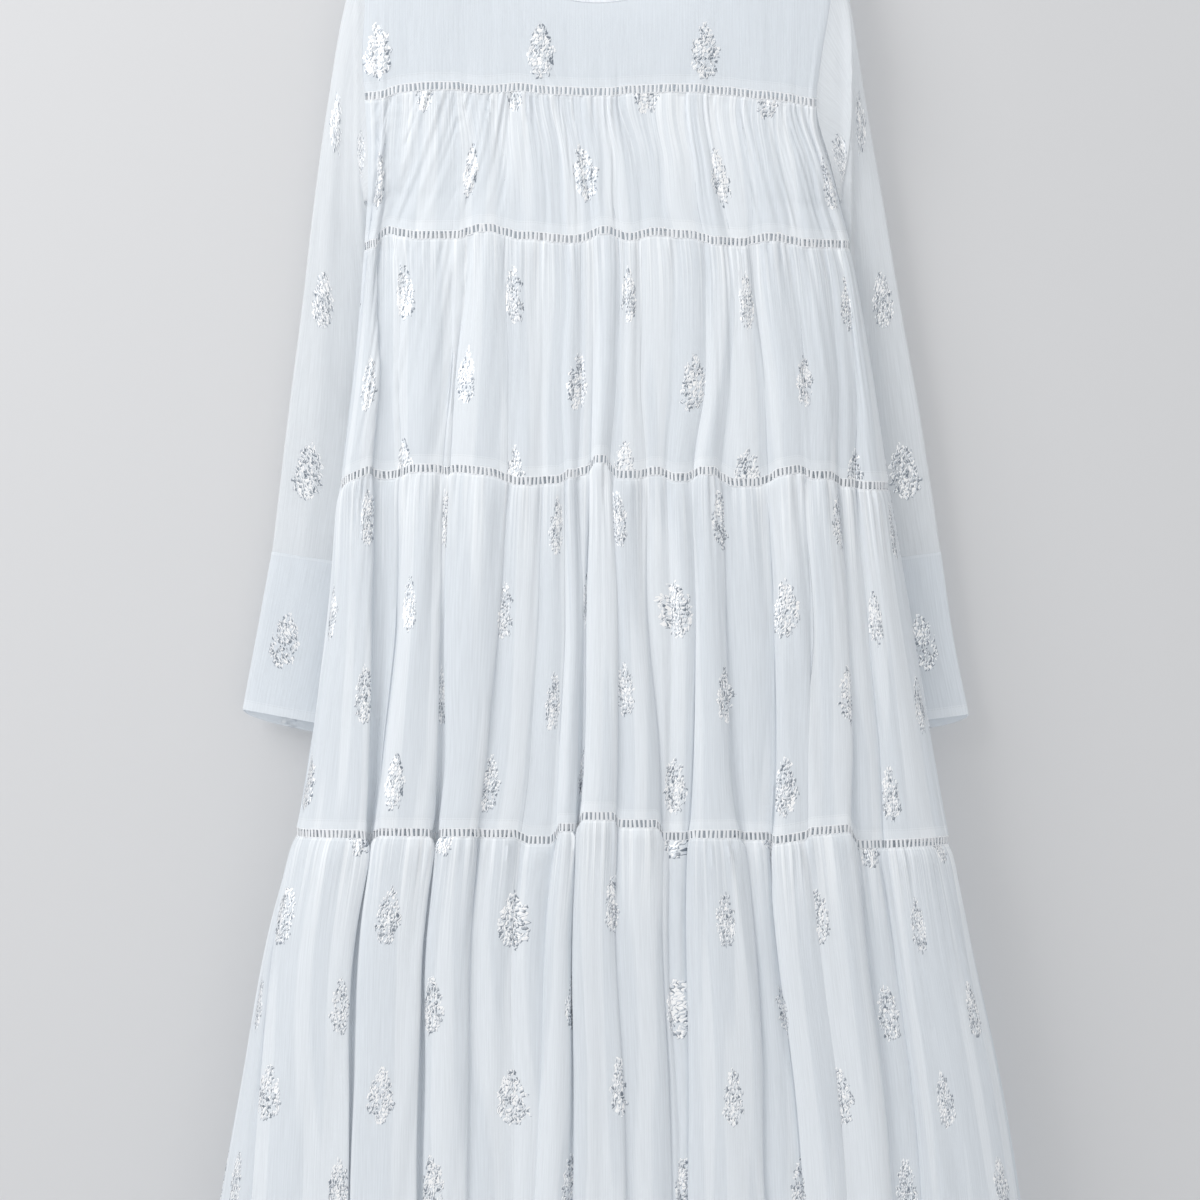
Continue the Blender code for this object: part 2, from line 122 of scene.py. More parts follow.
@dataclass(frozen=True)
class Fold:
    """One hanging fold of a face, from its left edge to its right one.

    right is the x of its right edge, out is how far it stands forward and join is the share of out at
    which its right edge stands, each at the four trims and the hem. lift is how far it raises each trim
    at its middle, and slope how much higher its right end is than its left.
    """

    right: tuple[float, ...]
    out: tuple[float, ...]
    lift: tuple[float, ...]
    slope: tuple[float, ...] = (0, 0, 0, 0)
    join: float = 0.0


FRONT_FOLDS = (
    Fold((-175, -182, -200, -233, -273), (1, 2, 5, 8, 10), (-3, -6, -8, 0)),
    Fold((-167, -174, -179, -181, -198), (1, 6, 10, 15, 17), (-2, -5, 0, 0), (0, 0, 13, 0)),
    Fold((-150, -156, -155, -173, -190), (0, -2, -4, -8, -3), (2, 6, 0, -3)),
    Fold((-113, -114, -123, -130, -137), (1, 2, 6, 14, 19), (4, 1, 5, 2)),
    Fold((-104, -104, -116, -125, -133), (0, 1, 2, -7, -3), (4, 1, 3, -2)),
    Fold((-78, -72, -72, -95, -101), (1, 3, 6, 13, 16), (1, 6, 3, 2), (0, 0, -6, 0), join=0.2),
    Fold((-52, -44, -46, -59, -67), (0, 1, 3, 4, 6), (3, 0, -5, 1)),
    Fold((-39, -30, -31, -32, -57), (1, 1, 2, 2, 3), (1, -2, -4, -4)),
    Fold((-28, -16, -16, -18, -27), (1, 1, 3, 9, 13), (0, -3, 1, 6)),
    Fold((-19, -6, -8, -14, -23), (0, 1, 2, -6, -3), (0, -1, 3, 6)),
    Fold((0, 14, 9, 12, 22), (1, 3, 6, 13, 18), (-1, 4, 12, 15), join=0.3),
    Fold((17, 31, 32, 43, 53), (1, 1, 4, 10, 11), (-1, -1, 0, 9)),
    Fold((37, 53, 52, 56, 57), (0, 1, 2, 2, 2), (1, 3, 3, -1)),
    Fold((65, 81, 75, 68, 66), (1, 1, 3, 3, 2), (2, 1, -2, -1)),
    Fold((87, 100, 95, 107, 137), (1, 2, 5, 13, 18), (2, -4, 3, 1)),
    Fold((113, 119, 132, 133, 160), (0, 1, 2, 4, 4), (0, -5, -6, -1)),
    Fold((140, 148, 161, 162, 195), (1, 2, 6, 14, 18), (-3, -1, 3, -2), (0, 0, 6, 5), join=0.7),
    Fold((156, 176, 186, 190, 228), (1, 2, 6, 14, 18), (-5, -5, 0, 4), (0, 0, 0, 3)),
    Fold((162, 186, 203, 220, 254), (0, 1, 2, 2, 3), (-7, -5, -6, -8)),
    Fold((0, 0, 0, 0, 0), (1, 2, 6, 11, 18), (-8, -5, -8, -7), (0, 0, 0, 2)),
)

# The back's folds, as shares of the width from left to right, growth to the hem, and the trims' lift
BACK_SHARES = (1.0, 0.8, 1.3, 0.7, 1.1, 0.9, 0.6, 1.4, 0.8, 1.2, 0.7, 1.0)
BACK_GROWTH = (9, 5, 12, 4, 11, 8, 4, 13, 6, 12, 4, 10)
BACK_LIFTS = (-3, 2, 4, -2, 3, -1, -4, 5, 0, 3, -3, -6)
BACK_DEPTHS = (0.1, 0.25, 0.45, 0.65, 1.0)


def spline(at: Array, xs: Sequence[float], ys: Array) -> Array:
    """Reads a smooth curve through rows of values.

    Args:
        at: where to read it.
        xs: the places of the rows, rising.
        ys: the values, one row for each place.

    Returns:
        The values at each place asked for, with the rows' own shape after the first axis.
    """
    xs, ys = np.asarray(xs, float), np.asarray(ys, float)
    slopes = np.gradient(ys, xs, axis=0)
    at = np.clip(at, xs[0], xs[-1])
    i = np.clip(np.searchsorted(xs, at) - 1, 0, len(xs) - 2)
    wide = xs[i + 1] - xs[i]
    f = (at - xs[i]) / wide
    extra = (1,) * (ys.ndim - 1)
    f, wide = f.reshape(*f.shape, *extra), wide.reshape(*wide.shape, *extra)
    return (
        (1 + 2 * f) * (1 - f) ** 2 * ys[i]
        + f * (1 - f) ** 2 * wide * slopes[i]
        + f * f * (3 - 2 * f) * ys[i + 1]
        + f * f * (f - 1) * wide * slopes[i + 1]
    )


def soft_noise(u: Array, v: Array, seed: int) -> Array:
    """Smooth noise from -1 to 1 over a plane, one bump to a unit each way.

    Args:
        u, v: the places, of one shape.
        seed: which noise it is.

    Returns:
        The noise at each place.
    """
    size = 256
    table = np.random.default_rng(seed).uniform(-1, 1, (size, size))
    iu, iv = np.floor(u).astype(int), np.floor(v).astype(int)
    fu, fv = u - iu, v - iv
    fu, fv = fu * fu * (3 - 2 * fu), fv * fv * (3 - 2 * fv)

    def row(dv: int) -> Array:
        """The noise along the top or the foot of each place's square."""
        low, high = (table[(iv + dv) % size, (iu + du) % size] for du in (0, 1))
        return low * (1 - fu) + high * fu

    return row(0) * (1 - fv) + row(1) * fv


def ease(x: Array) -> Array:
    """A smooth step from 0 to 1."""
    x = np.clip(x, 0, 1)
    return x * x * (3 - 2 * x)


def quarter(x: Array) -> Array:
    """How far round a quarter circle the cloth has turned, from 0 to 1."""
    return np.sqrt(np.clip(1 - (1 - np.clip(x, 0, 1)) ** 2, 0, 1))


def from_ends(x: Array, margin: float) -> Array:
    """0 at the ends of each row of places, and 1 from a margin inside them."""
    return ease((x - x[:, :1]) / margin) * ease((x[:, -1:] - x) / margin)


class Creases(NamedTuple):
    """A layer of creases: their depth, the usual width and length of one, and where its noise starts."""

    depth: float
    width: float
    length: float
    start: tuple[float, float] = (0.0, 0.0)


def creased(x: Array, down: Array, seed: int, layers: Sequence[Creases]) -> Array:
    """How far layers of creases stand out from the cloth.

    Args:
        x, down: the places, across the creases and along them.
        seed: which noise the first layer has. Each other layer has the next one.
        layers: the layers.

    Returns:
        The height at each place.
    """
    return sum(
        layer.depth
        * soft_noise(x / layer.width + layer.start[0], down / layer.length + layer.start[1], seed + i)
        for i, layer in enumerate(layers)
    )


def body_at(z: Array) -> Section:
    """The body's section at each height, read smoothly between the rows of BODY."""
    rows = np.array(BODY, float)
    return Section(z, *np.moveaxis(spline(-np.asarray(z, float), -rows[:, 0], rows[:, 1:]), -1, 0))


def armhole_depth(z: Array) -> Array:
    """How far each panel's edge stands from the side seam's plane, down to the underarm."""
    return ARMHOLE_HALF_DEPTH * quarter((z - UNDERARM_Z) / UNDERARM_TURN)


def shoulder_at(past: Array) -> Array:
    """The height of the shoulder seam at a share of the way out from the neck."""
    return NECK_HIGH_Z + (SHOULDER_LOW_Z - NECK_HIGH_Z) * past


def lengths_along(points: Array) -> Array:
    """The distance along each row of points, from its first one."""
    steps = np.linalg.norm(np.diff(points, axis=-2), axis=-1)
    return np.concatenate([np.zeros((*steps.shape[:-1], 1)), np.cumsum(steps, -1)], -1)


def cloth_area(points: Array) -> float:
    """The area of hung cloth, from its rows of points in millimetres, in square metres."""
    a, b = points[1:, 1:] - points[:-1, :-1], points[1:, :-1] - points[:-1, 1:]
    return float(np.linalg.norm(np.cross(a, b), axis=-1).sum() / 2 * MM * MM)


def points_of(piece: Piece) -> Array:
    """Reads a piece's points.

    Args:
        piece: the piece.

    Returns:
        The points in millimetres.
    """
    flat = np.empty(len(piece.data.vertices) * 3)
    piece.data.vertices.foreach_get("co", flat)
    return flat.reshape(-1, 3) / MM


def move_to(piece: Piece, points: Array) -> None:
    """Moves a piece's points, given in millimetres."""
    piece.data.vertices.foreach_set("co", (points * MM).ravel())
    piece.data.update()


def choose(*pieces: Piece) -> None:
    """Selects some pieces and nothing else.

    Args:
        pieces: the pieces, of which the first becomes the active one.
    """
    bpy.ops.object.select_all(action="DESELECT")
    for piece in pieces:
        piece.select_set(True)
    bpy.context.view_layer.objects.active = pieces[0]


def modify(piece: Piece, kind: str, **settings: object) -> None:
    """Gives a piece a modifier and applies it.

    Args:
        piece: the piece.
        kind: the modifier's type.
        settings: its properties.
    """
    choose(piece)
    modifier = piece.modifiers.new(kind.lower(), kind)
    for name, value in settings.items():
        setattr(modifier, name, value)
    bpy.ops.object.modifier_apply(modifier=modifier.name)


def place_in_part(piece: Piece, node: str, sharp: float) -> Piece:
    """Smooths the selected, finished piece and gives it its place in the part.

    Args:
        piece: the piece.
        node: the solid that it stands for.
        sharp: the angle in degrees up to which its edges are smooth.

    Returns:
        The same piece.
    """
    bpy.ops.object.shade_smooth_by_angle(angle=math.radians(sharp))
    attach(piece, "root")
    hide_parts(node)
    return piece


@dataclass
class Cloth:
    """A panel of cloth, cut flat and then hung.

    columns and rows are the cells of its grid, and print_at is where its lower left corner lies on the
    printed cloth. A turned panel has its face on the other side, because it hangs the other way round.
    Points closer than merged are made one, and edges up to sharp degrees are smooth.
    """

    name: str
    columns: int
    rows: int
    thickness: float = SHEER
    print_at: tuple[float, float] = (0.0, 0.0)
    turned: bool = False
    merged: float = 0.02
    sharp: float = 75.0

    def hang(self, points: Array, across: Array, up: Array, level: bool = False) -> Piece:
        """Cuts the panel and moves its points to where it hangs.

        Args:
            points: rows of points from the top down, in millimetres.
            across: each column's place on the flat cut, from its left edge.
            up: each row's place on the flat cut, from its lower edge.
            level: whether its grain is level and upright where it hangs.

        Returns:
            The hung piece, one layer thick.
        """
        width, length = float(across[-1] - across[0]), float(up[0] - up[-1])
        bpy.ops.object.select_all(action="DESELECT")
        bpy.ops.mesh.primitive_grid_add(
            x_subdivisions=self.columns, y_subdivisions=self.rows, size=1, calc_uvs=True
        )
        piece = bpy.context.object
        mesh = piece.data
        piece.name = mesh.name = self.name
        piece.scale = (width * MM, length * MM, 1)
        bpy.ops.object.transform_apply(location=True, rotation=True, scale=True)
        flat = points_of(piece)
        column = np.rint((flat[:, 0] / width + 0.5) * self.columns).astype(int)
        row = np.rint((0.5 - flat[:, 1] / length) * self.rows).astype(int)
        move_to(piece, points[row, column])
        places = np.stack([across[column] - across[0], up[row]], 1) * MM
        from_top = np.stack([up[0] * MM - places[:, 1], places[:, 1]], 1)
        if level:
            places = (points - points[-1:, :1])[row, column][:, [0, 2]] * MM
            above_foot = (points[..., 2] - points[-1:, :, 2])[row, column] * MM
            from_top = np.stack([above_foot + 1, above_foot], 1)
        loops = np.empty(len(mesh.loops), int)
        mesh.loops.foreach_get("vertex_index", loops)
        mesh.uv_layers[0].name = "print"
        mesh.uv_layers[0].data.foreach_set("uv", (places[loops] + np.array(self.print_at) * MM).ravel())
        mesh.uv_layers.new(name="edges").data.foreach_set("uv", from_top[loops].ravel())
        if self.turned:
            mesh.flip_normals()
        mesh.update()
        return piece

    def finish(self, piece: Piece, node: str) -> Piece:
        """Closes the hung piece's poles and gives it its thickness and its place in the part.

        Args:
            piece: the hung piece.
            node: the solid that it stands for.

        Returns:
            The same piece.
        """
        choose(piece)
        bpy.ops.object.mode_set(mode="EDIT")
        bpy.ops.mesh.select_all(action="SELECT")
        bpy.ops.mesh.remove_doubles(threshold=self.merged * MM)
        bpy.ops.object.mode_set(mode="OBJECT")
        piece.data.materials.append(None)
        piece.data.materials.append(None)
        modify(piece, "SOLIDIFY", thickness=self.thickness * MM, offset=0.0, material_offset=1)
        return place_in_part(piece, node, self.sharp)


class Hang(NamedTuple):
    """How the folds lie at each place: the share of the section's width, how far they stand out from it,
    how far they lift a trim, and how near each place is to its fold's crest."""

    share: Array
    out: Array
    lift: Array
    crest: Array


@dataclass
class Face:
    """The front or the back of the dress: where its folds lie at the trims and the hem.

    A fold that stands out as far as full_tube hangs as a flat-topped tube, and a shallower one as a wave.
    roll is the most that a tube's sides hang over its feet, and wander how far the feet stray, as shares
    of widths. recess is how far the cloth falls back between tubes, and steps the share of each fold's
    width over which a trim climbs to its neighbour's height. calm is the share of each front fold's depth
    that is hung. Both have a number for each of the trims and the hem. wander_bumps is how often the feet
    stray, to a fold and to a tier. A fold holds as much cloth as it is wide, fold_cloth and depth_cloth
    for each millimetre that it stands out, and the first and the last hold side_cloth as well, round the
    side. squareness is of the body's section, off_body how far the cloth lies off it, and side_fade the
    share of half the width over which the folds fade out at the sides.
    """

    facing: Facing
    full_tube: float = 13.0
    flat_top: float = 0.6
    roll: float = 0.14
    wander: float = 0.009
    recess: float = 2.5
    steps: tuple[float, ...] = (0.42, 0.36, 0.26, 0.18, 0.18)
    calm: tuple[float, ...] = (1, 1, 0.95, 0.8, 0.5)
    wander_bumps: tuple[float, float] = (7.3, 2.5)
    fold_cloth: float = 8.0
    depth_cloth: float = 2.2
    side_cloth: float = 30.0
    squareness: float = 2.4
    off_body: float = 0.1
    side_fade: float = 0.02
    roll_seed: int = 23
    wander_seed: int = 11

    def __post_init__(self) -> None:
        """Reads the tables of the face's folds."""
        self.front = self.facing is Facing.FRONT
        self.side = 0 if self.front else 1
        self.name = self.facing.name.lower()
        ends = body_at(np.array(LINES_Z))
        self.left, self.right = ends.left, ends.right
        left, wide = self.left[:, None], (self.right - self.left)[:, None]
        if self.front:
            self.out, self.lift, self.slope = (
                np.array([getattr(fold, name) for fold in FRONT_FOLDS], float).T
                for name in ("out", "lift", "slope")
            )
            self.out = self.out * np.array(self.calm)[:, None]
            inner = np.array([fold.right for fold in FRONT_FOLDS[:-1]]).T
            self.join = np.array([0.0, *(fold.join for fold in FRONT_FOLDS[:-1]), 0.0])
        else:
            self.out = np.outer(BACK_DEPTHS, BACK_GROWTH)
            self.lift = np.tile(np.array(BACK_LIFTS, float), (len(TRIM_Z), 1))
            self.slope = np.zeros_like(self.lift)
            inner = left + wide * (np.cumsum(BACK_SHARES)[:-1] / sum(BACK_SHARES))
            self.join = np.zeros(len(BACK_SHARES) + 1)
        self.edges = np.column_stack([self.left, inner, self.right])
        self.shares = (self.edges - left) / wide
        self.count = self.out.shape[1]
        self.rolls = self.roll * np.random.default_rng(self.roll_seed).uniform(0.1, 1.0, (2, self.count))
        self.lift = np.vstack([self.lift, np.zeros(self.count)])
        self.slope = np.vstack([self.slope, np.zeros(self.count)])

    def places(self, columns: int) -> Array:
        """Shares a number of columns out between the folds, by how much cloth each holds.

        Args:
            columns: how many cells there are.

        Returns:
            Each column's place: the fold's number and how far through its cloth it is.
        """
        cloth = np.diff(self.edges[-1]) + self.depth_cloth * self.out[-1] + self.fold_cloth
        cloth[[0, -1]] += self.side_cloth
        cells = np.maximum(4, np.floor(columns * cloth / cloth.sum())).astype(int)
        for _ in range(columns - cells.sum()):
            cells[np.argmax(cloth / cells)] += 1
        while cells.sum() > columns:
            cells[np.argmax(cells)] -= 1
        return np.concatenate([i + np.arange(n) / n for i, n in enumerate(cells)] + [[float(self.count)]])

    def at(self, place: Array, line: Array) -> Hang:
        """Reads the folds at places across the face and down it.

        Args:
            place: the columns' places.
            line: the rows' places, 0 at the first trim and 4 at the hem, as a column.

        Returns:
            How the folds lie there, in rows.
        """
        index = np.clip(np.floor(place).astype(int), 0, self.count - 1)
        before, after = np.clip(index - 1, 0, self.count - 1), np.clip(index + 1, 0, self.count - 1)
        f = place - index
        low = np.clip(np.floor(line).astype(int), 0, len(LINES_Z) - 2)
        g = line - low
        to_fold, to_tier = self.wander_bumps

        def down(values: Array, columns: Array) -> Array:
            """Values read between two lines."""
            return values[low, columns] * (1 - g) + values[low + 1, columns] * g

        def foot_at(number: Array, strays: Array) -> Array:
            """Where the foot between two folds lies, as a share of the width."""
            stray = soft_noise(number * to_fold + 0.5, line * to_tier, self.wander_seed)
            return down(self.shares, number) + self.wander * strays * stray

        def end_of(columns: Array, side: float) -> Array:
            """How far a fold's own end lifts a trim, at its left (-1) or its right (1)."""
            return down(self.lift, columns) + down(self.slope, columns) * 0.5 * side

        out = down(self.out, index)
        turn = math.pi * f
        inward = (1 - np.cos(turn)) / 2
        tube = np.sin(turn) ** self.flat_top
        wave = np.sin(math.pi * inward) ** 2
        full = ease(out / self.full_tube)
        crest = wave + (tube - wave) * full
        left_foot, right_foot = self.join[index] * down(self.out, before), self.join[index + 1] * out
        foot = left_foot * (1 - inward) + right_foot * inward
        stand = foot + (out - foot) * crest - self.recess * full * (1 - crest) ** 3
        over = self.rolls[0, index] * (1 - inward) + self.rolls[1, index] * inward
        rolled = inward - over * full * np.sin(2 * turn)
        a = foot_at(index, (index > 0) * ease(self.count - place))
        b = foot_at(index + 1, (index < self.count - 1) * 1.0)
        share = a + (b - a) * rolled
        own = down(self.lift, index) + down(self.slope, index) * (inward - 0.5)
        left = (end_of(index, -1) + end_of(before, 1)) / 2
        right = (end_of(index, 1) + end_of(after, -1)) / 2
        step = np.interp(line, np.arange(len(self.steps)), self.steps)
        near_left, near_right = ease(1 - inward / step), ease(1 - (1 - inward) / step)
        lift = own + (left - own) * near_left + (right - own) * near_right
        return Hang(share, stand, lift, crest)

    def points(self, share: Array, out: Array, z: Array, base_z: Array) -> Array:
        """Where the cloth hangs.

        Args:
            share: the share of the section's width.
            out: how far the cloth stands out from the section.
            z: its height.
            base_z: the height whose section it follows.

        Returns:
            The points, in rows.
        """
        section = body_at(base_z)
        across = np.abs(2 * share - 1)
        lens = np.sqrt(np.clip(1 - across**self.squareness, 0, None))
        edge = armhole_depth(base_z)
        depth = section.front if self.front else section.back
        stand = edge + (depth - edge) * lens
        fade = ease((1 - across) / self.side_fade)
        x = section.left + (section.right - section.left) * share
        y = section.middle + self.facing.value * (stand + out * fade + self.off_body)
        return np.stack(np.broadcast_arrays(x, y, z), -1)

    def pressed(self, points: Array, height: Array) -> Array:
        """Moves points straight out of the cloth.

        Args:
            points: rows of points.
            height: how far each goes.

        Returns:
            The moved points.
        """
        along = np.gradient(points, axis=1)
        normal = np.stack([-along[..., 1], along[..., 0], np.zeros_like(along[..., 0])], -1)
        normal /= np.maximum(np.linalg.norm(normal, axis=-1, keepdims=True), 1e-9)
        return points + normal * (self.facing.value * height)[..., None]

    def line(self, number: int, place: Array, rise: float) -> Array:
        """Points along a trim, at a height above its middle.

        Args:
            number: the trim, from 0.
            place: the columns' places.
            rise: the height in millimetres.

        Returns:
            One row of points.
        """
        found = self.at(place, np.array([[float(number)]]))
        base = np.full((1, 1), LINES_Z[number])
        return self.points(found.share, found.out, base + found.lift + rise, base)[0]


@dataclass(frozen=True)
class TierCut:
    """How one tier is cut and gathered.

    fullness is how deep its fine gathers are below the upper trim, reach how far down they fade, pitch the
    usual width of one, and sway the depth of the softer creases between the folds. puff is how far the
    cloth swells out below the upper trim, and fan how far the creases at the left and the right spread.
    take_up is how much more cloth there is across than the hung panel measures, in gathers that are too
    fine to be hung one by one, and uneven how much that varies along the seam. tail is the share of the
    gathers' depth that is left at their foot.
    """

    name: str
    columns: tuple[int, int]
    rows: tuple[int, int]
    fullness: float
    reach: float
    pitch: float
    sway: float
    puff: float
    fan: tuple[float, float]
    take_up: float
    print_at: tuple[float, float]
    uneven: float = 0.3
    tail: float = 0.18


TIERS = (
    TierCut("tier_2", (450, 240), (40, 24), 1.45, 162.5, 4.0, 0.8, 0.8, (0.34, -0.2), 1.3, (10, 20)),
    TierCut("tier_3", (450, 240), (56, 36), 1.6, 68.75, 4.6, 1.2, 1.8, (0.16, -0.1), 1.25, (40, 64)),
    TierCut("tier_4", (470, 260), (78, 48), 2.0, 50, 5.0, 1.8, 3.4, (0.1, -0.08), 1.18, (5, 30), 0.3, 0.12),
    TierCut(
        "tier_5", (480, 300), (92, 60), 2.1, 43.75, 5.2, 1.5, 4.8, (0.1, -0.1), 1.18, (50, 90), 0.2, 0.07
    ),
)


@dataclass
class Tier:
    """A gathered strip between two trims, or between the last trim and the hem.

    number is 0 for the tier below the yoke. The cloth swells out over swell_start and falls back over
    swell_reach, least between the folds, where it swells by flat_swell of the whole. held_edge is the
    height above the lower trim over which it is drawn flat. The hem rises and falls in hem_waves, whose
    width is in folds, and sinks by hem_sink of what its folds stand out. The creases fan out beyond
    fan_from, over fan_width, and start at the sides over side_margin. Gathers and soft creases start
    below the upper trim over the length and from the share in gather_start and sway_start, and held is the
    share of them that is left at the lower trim. The widths of gathers are shares of the cut's pitch, and
    bunches are where there is more cloth in them. closer is how much closer the rows of cells lie at the
    top, and back_shift how far along the print the back is cut.
    """

    face: Face
    number: int
    swell_start: float = 6.0
    swell_reach: float = 90.0
    flat_swell: float = 0.35
    held_edge: float = 12.0
    hem_waves: Creases = Creases(2.5, 1 / 0.9, 1, (3, 0))
    hem_seed: int = 71
    hem_sink: float = 0.12
    fan_from: tuple[float, float] = (-30.0, 40.0)
    fan_width: float = 110.0
    side_margin: float = 9.0
    gather_start: tuple[float, float] = (3.0, 0.25)
    sway_start: tuple[float, float] = (25.0, 0.15)
    held: float = 0.25
    gathers: tuple[Creases, ...] = (Creases(1, 1 / 1.6, 90, (50, 7)), Creases(0.5, 1 / 3, 60, (20, 3)))
    sways: tuple[Creases, ...] = (Creases(1, 17, 260, (9, 1)), Creases(0.5, 8.5, 200, (31, 5)))
    bunches: Creases = Creases(1, 30, 1, (5, 0))
    closer: float = 0.25
    back_shift: float = 40.0

    def __post_init__(self) -> None:
        """Reads the tier's cut and its heights."""
        self.cut = TIERS[self.number]
        self.last = self.number == len(TIERS) - 1
        self.top_z, self.foot_z = LINES_Z[self.number : self.number + 2]
        self.drop = abs(self.foot_z - self.top_z)

    def rows_of_points(self, place: Array, share: Array) -> Array:
        """The hung points.

        Args:
            place: the columns' places.
            share: how far down the tier each row is, as a column.

        Returns:
            Rows of points in millimetres.
        """
        face = self.face
        found = face.at(place, self.number + share)
        upper = face.at(place, np.full_like(share, float(self.number)))
        lower = face.at(place, np.full_like(share, float(self.number + 1)))
        lap = TRIM_HEIGHT / 2 - TRIM_LAP
        top = self.top_z + upper.lift - lap
        foot = self.foot_z + lower.lift
        if self.last:
            waves = creased(place, 0 * share, self.hem_seed, [self.hem_waves])
            foot = foot + waves - self.hem_sink * found.out
        else:
            foot = foot + lap
        base = self.top_z + (self.foot_z - self.top_z) * share
        points = face.points(found.share, found.out, top + (foot - top) * share, base)
        down = share * self.drop
        swell = (1 - np.exp(-down / self.swell_start)) * np.exp(-down / self.swell_reach)
        swell = swell * ease((self.drop - down) / self.held_edge)
        swell = self.cut.puff * swell * (self.flat_swell + (1 - self.flat_swell) * found.crest)
        return face.pressed(points, swell + self.creases(points, down))

    def creases(self, points: Array, down: Array) -> Array:
        """How far the gathers and the soft creases stand out.

        Args:
            points: the points before they are creased.
            down: how far down the tier each row is, in millimetres.

        Returns:
            A height for each point.
        """
        cut, x = self.cut, points[..., 0]
        seed = 100 * self.number + 17 * self.face.side
        grain = (x[-1] + x) / 2
        left = cut.fan[0] * ease((self.fan_from[0] - grain) / self.fan_width)
        right = cut.fan[1] * ease((grain - self.fan_from[1]) / self.fan_width)
        grain = grain + down * (left + right)
        fading = cut.tail + (1 - cut.tail) * np.exp(-down / cut.reach)
        (gather_over, gather_from), (sway_over, sway_from) = self.gather_start, self.sway_start
        gather = cut.fullness * fading * ease(down / gather_over + gather_from)
        sway = cut.sway * ease(down / sway_over + sway_from)
        fine = gather * creased(grain / cut.pitch, down, seed, self.gathers)
        soft = sway * creased(grain, down, seed + len(self.gathers), self.sways)
        hold = 1.0 if self.last else self.held + (1 - self.held) * ease((self.drop - down) / self.held_edge)
        return (fine + soft) * hold * from_ends(x, self.side_margin)

    def taken_up(self, foot: Array) -> Array:
        """Each column's place on the flat cut, with more cloth in some gathers than in others.

        Args:
            foot: the points along the tier's foot.

        Returns:
            The places, from the left edge.
        """
        along = lengths_along(foot)
        share = 1 + self.cut.uneven * creased(along, 0 * along, 400 + self.number, [self.bunches])
        cloth = np.concatenate([[0.0], np.cumsum(np.diff(along) * (share[1:] + share[:-1]) / 2)])
        return cloth * along[-1] * self.cut.take_up / cloth[-1]

    def build(self) -> Piece:
        """Cuts and hangs the tier.

        Returns:
            The finished piece, still undressed.
        """
        cut, side = self.cut, self.face.side
        name = f"{cut.name}_{self.face.name}"
        columns, rows = cut.columns[side], cut.rows[side]
        share = np.linspace(0, 1, rows + 1)
        share = ((1 - self.closer) * share + self.closer * share**2)[:, None]
        points = self.rows_of_points(self.face.places(columns)[None, :], share)
        across = self.taken_up(points[-1])
        length = self.drop - TRIM_HEIGHT + (TRIM_HEIGHT / 2 if self.last else 0)
        self.flat = (float(across[-1]) * MM, length * MM)
        print_at = (cut.print_at[0] + self.back_shift * side, cut.print_at[1])
        cloth = Cloth(f"{name}_cloth", columns, rows, SHEER, print_at, not self.face.front)
        return cloth.finish(cloth.hang(points, across, (1 - share[:, 0]) * length), name)


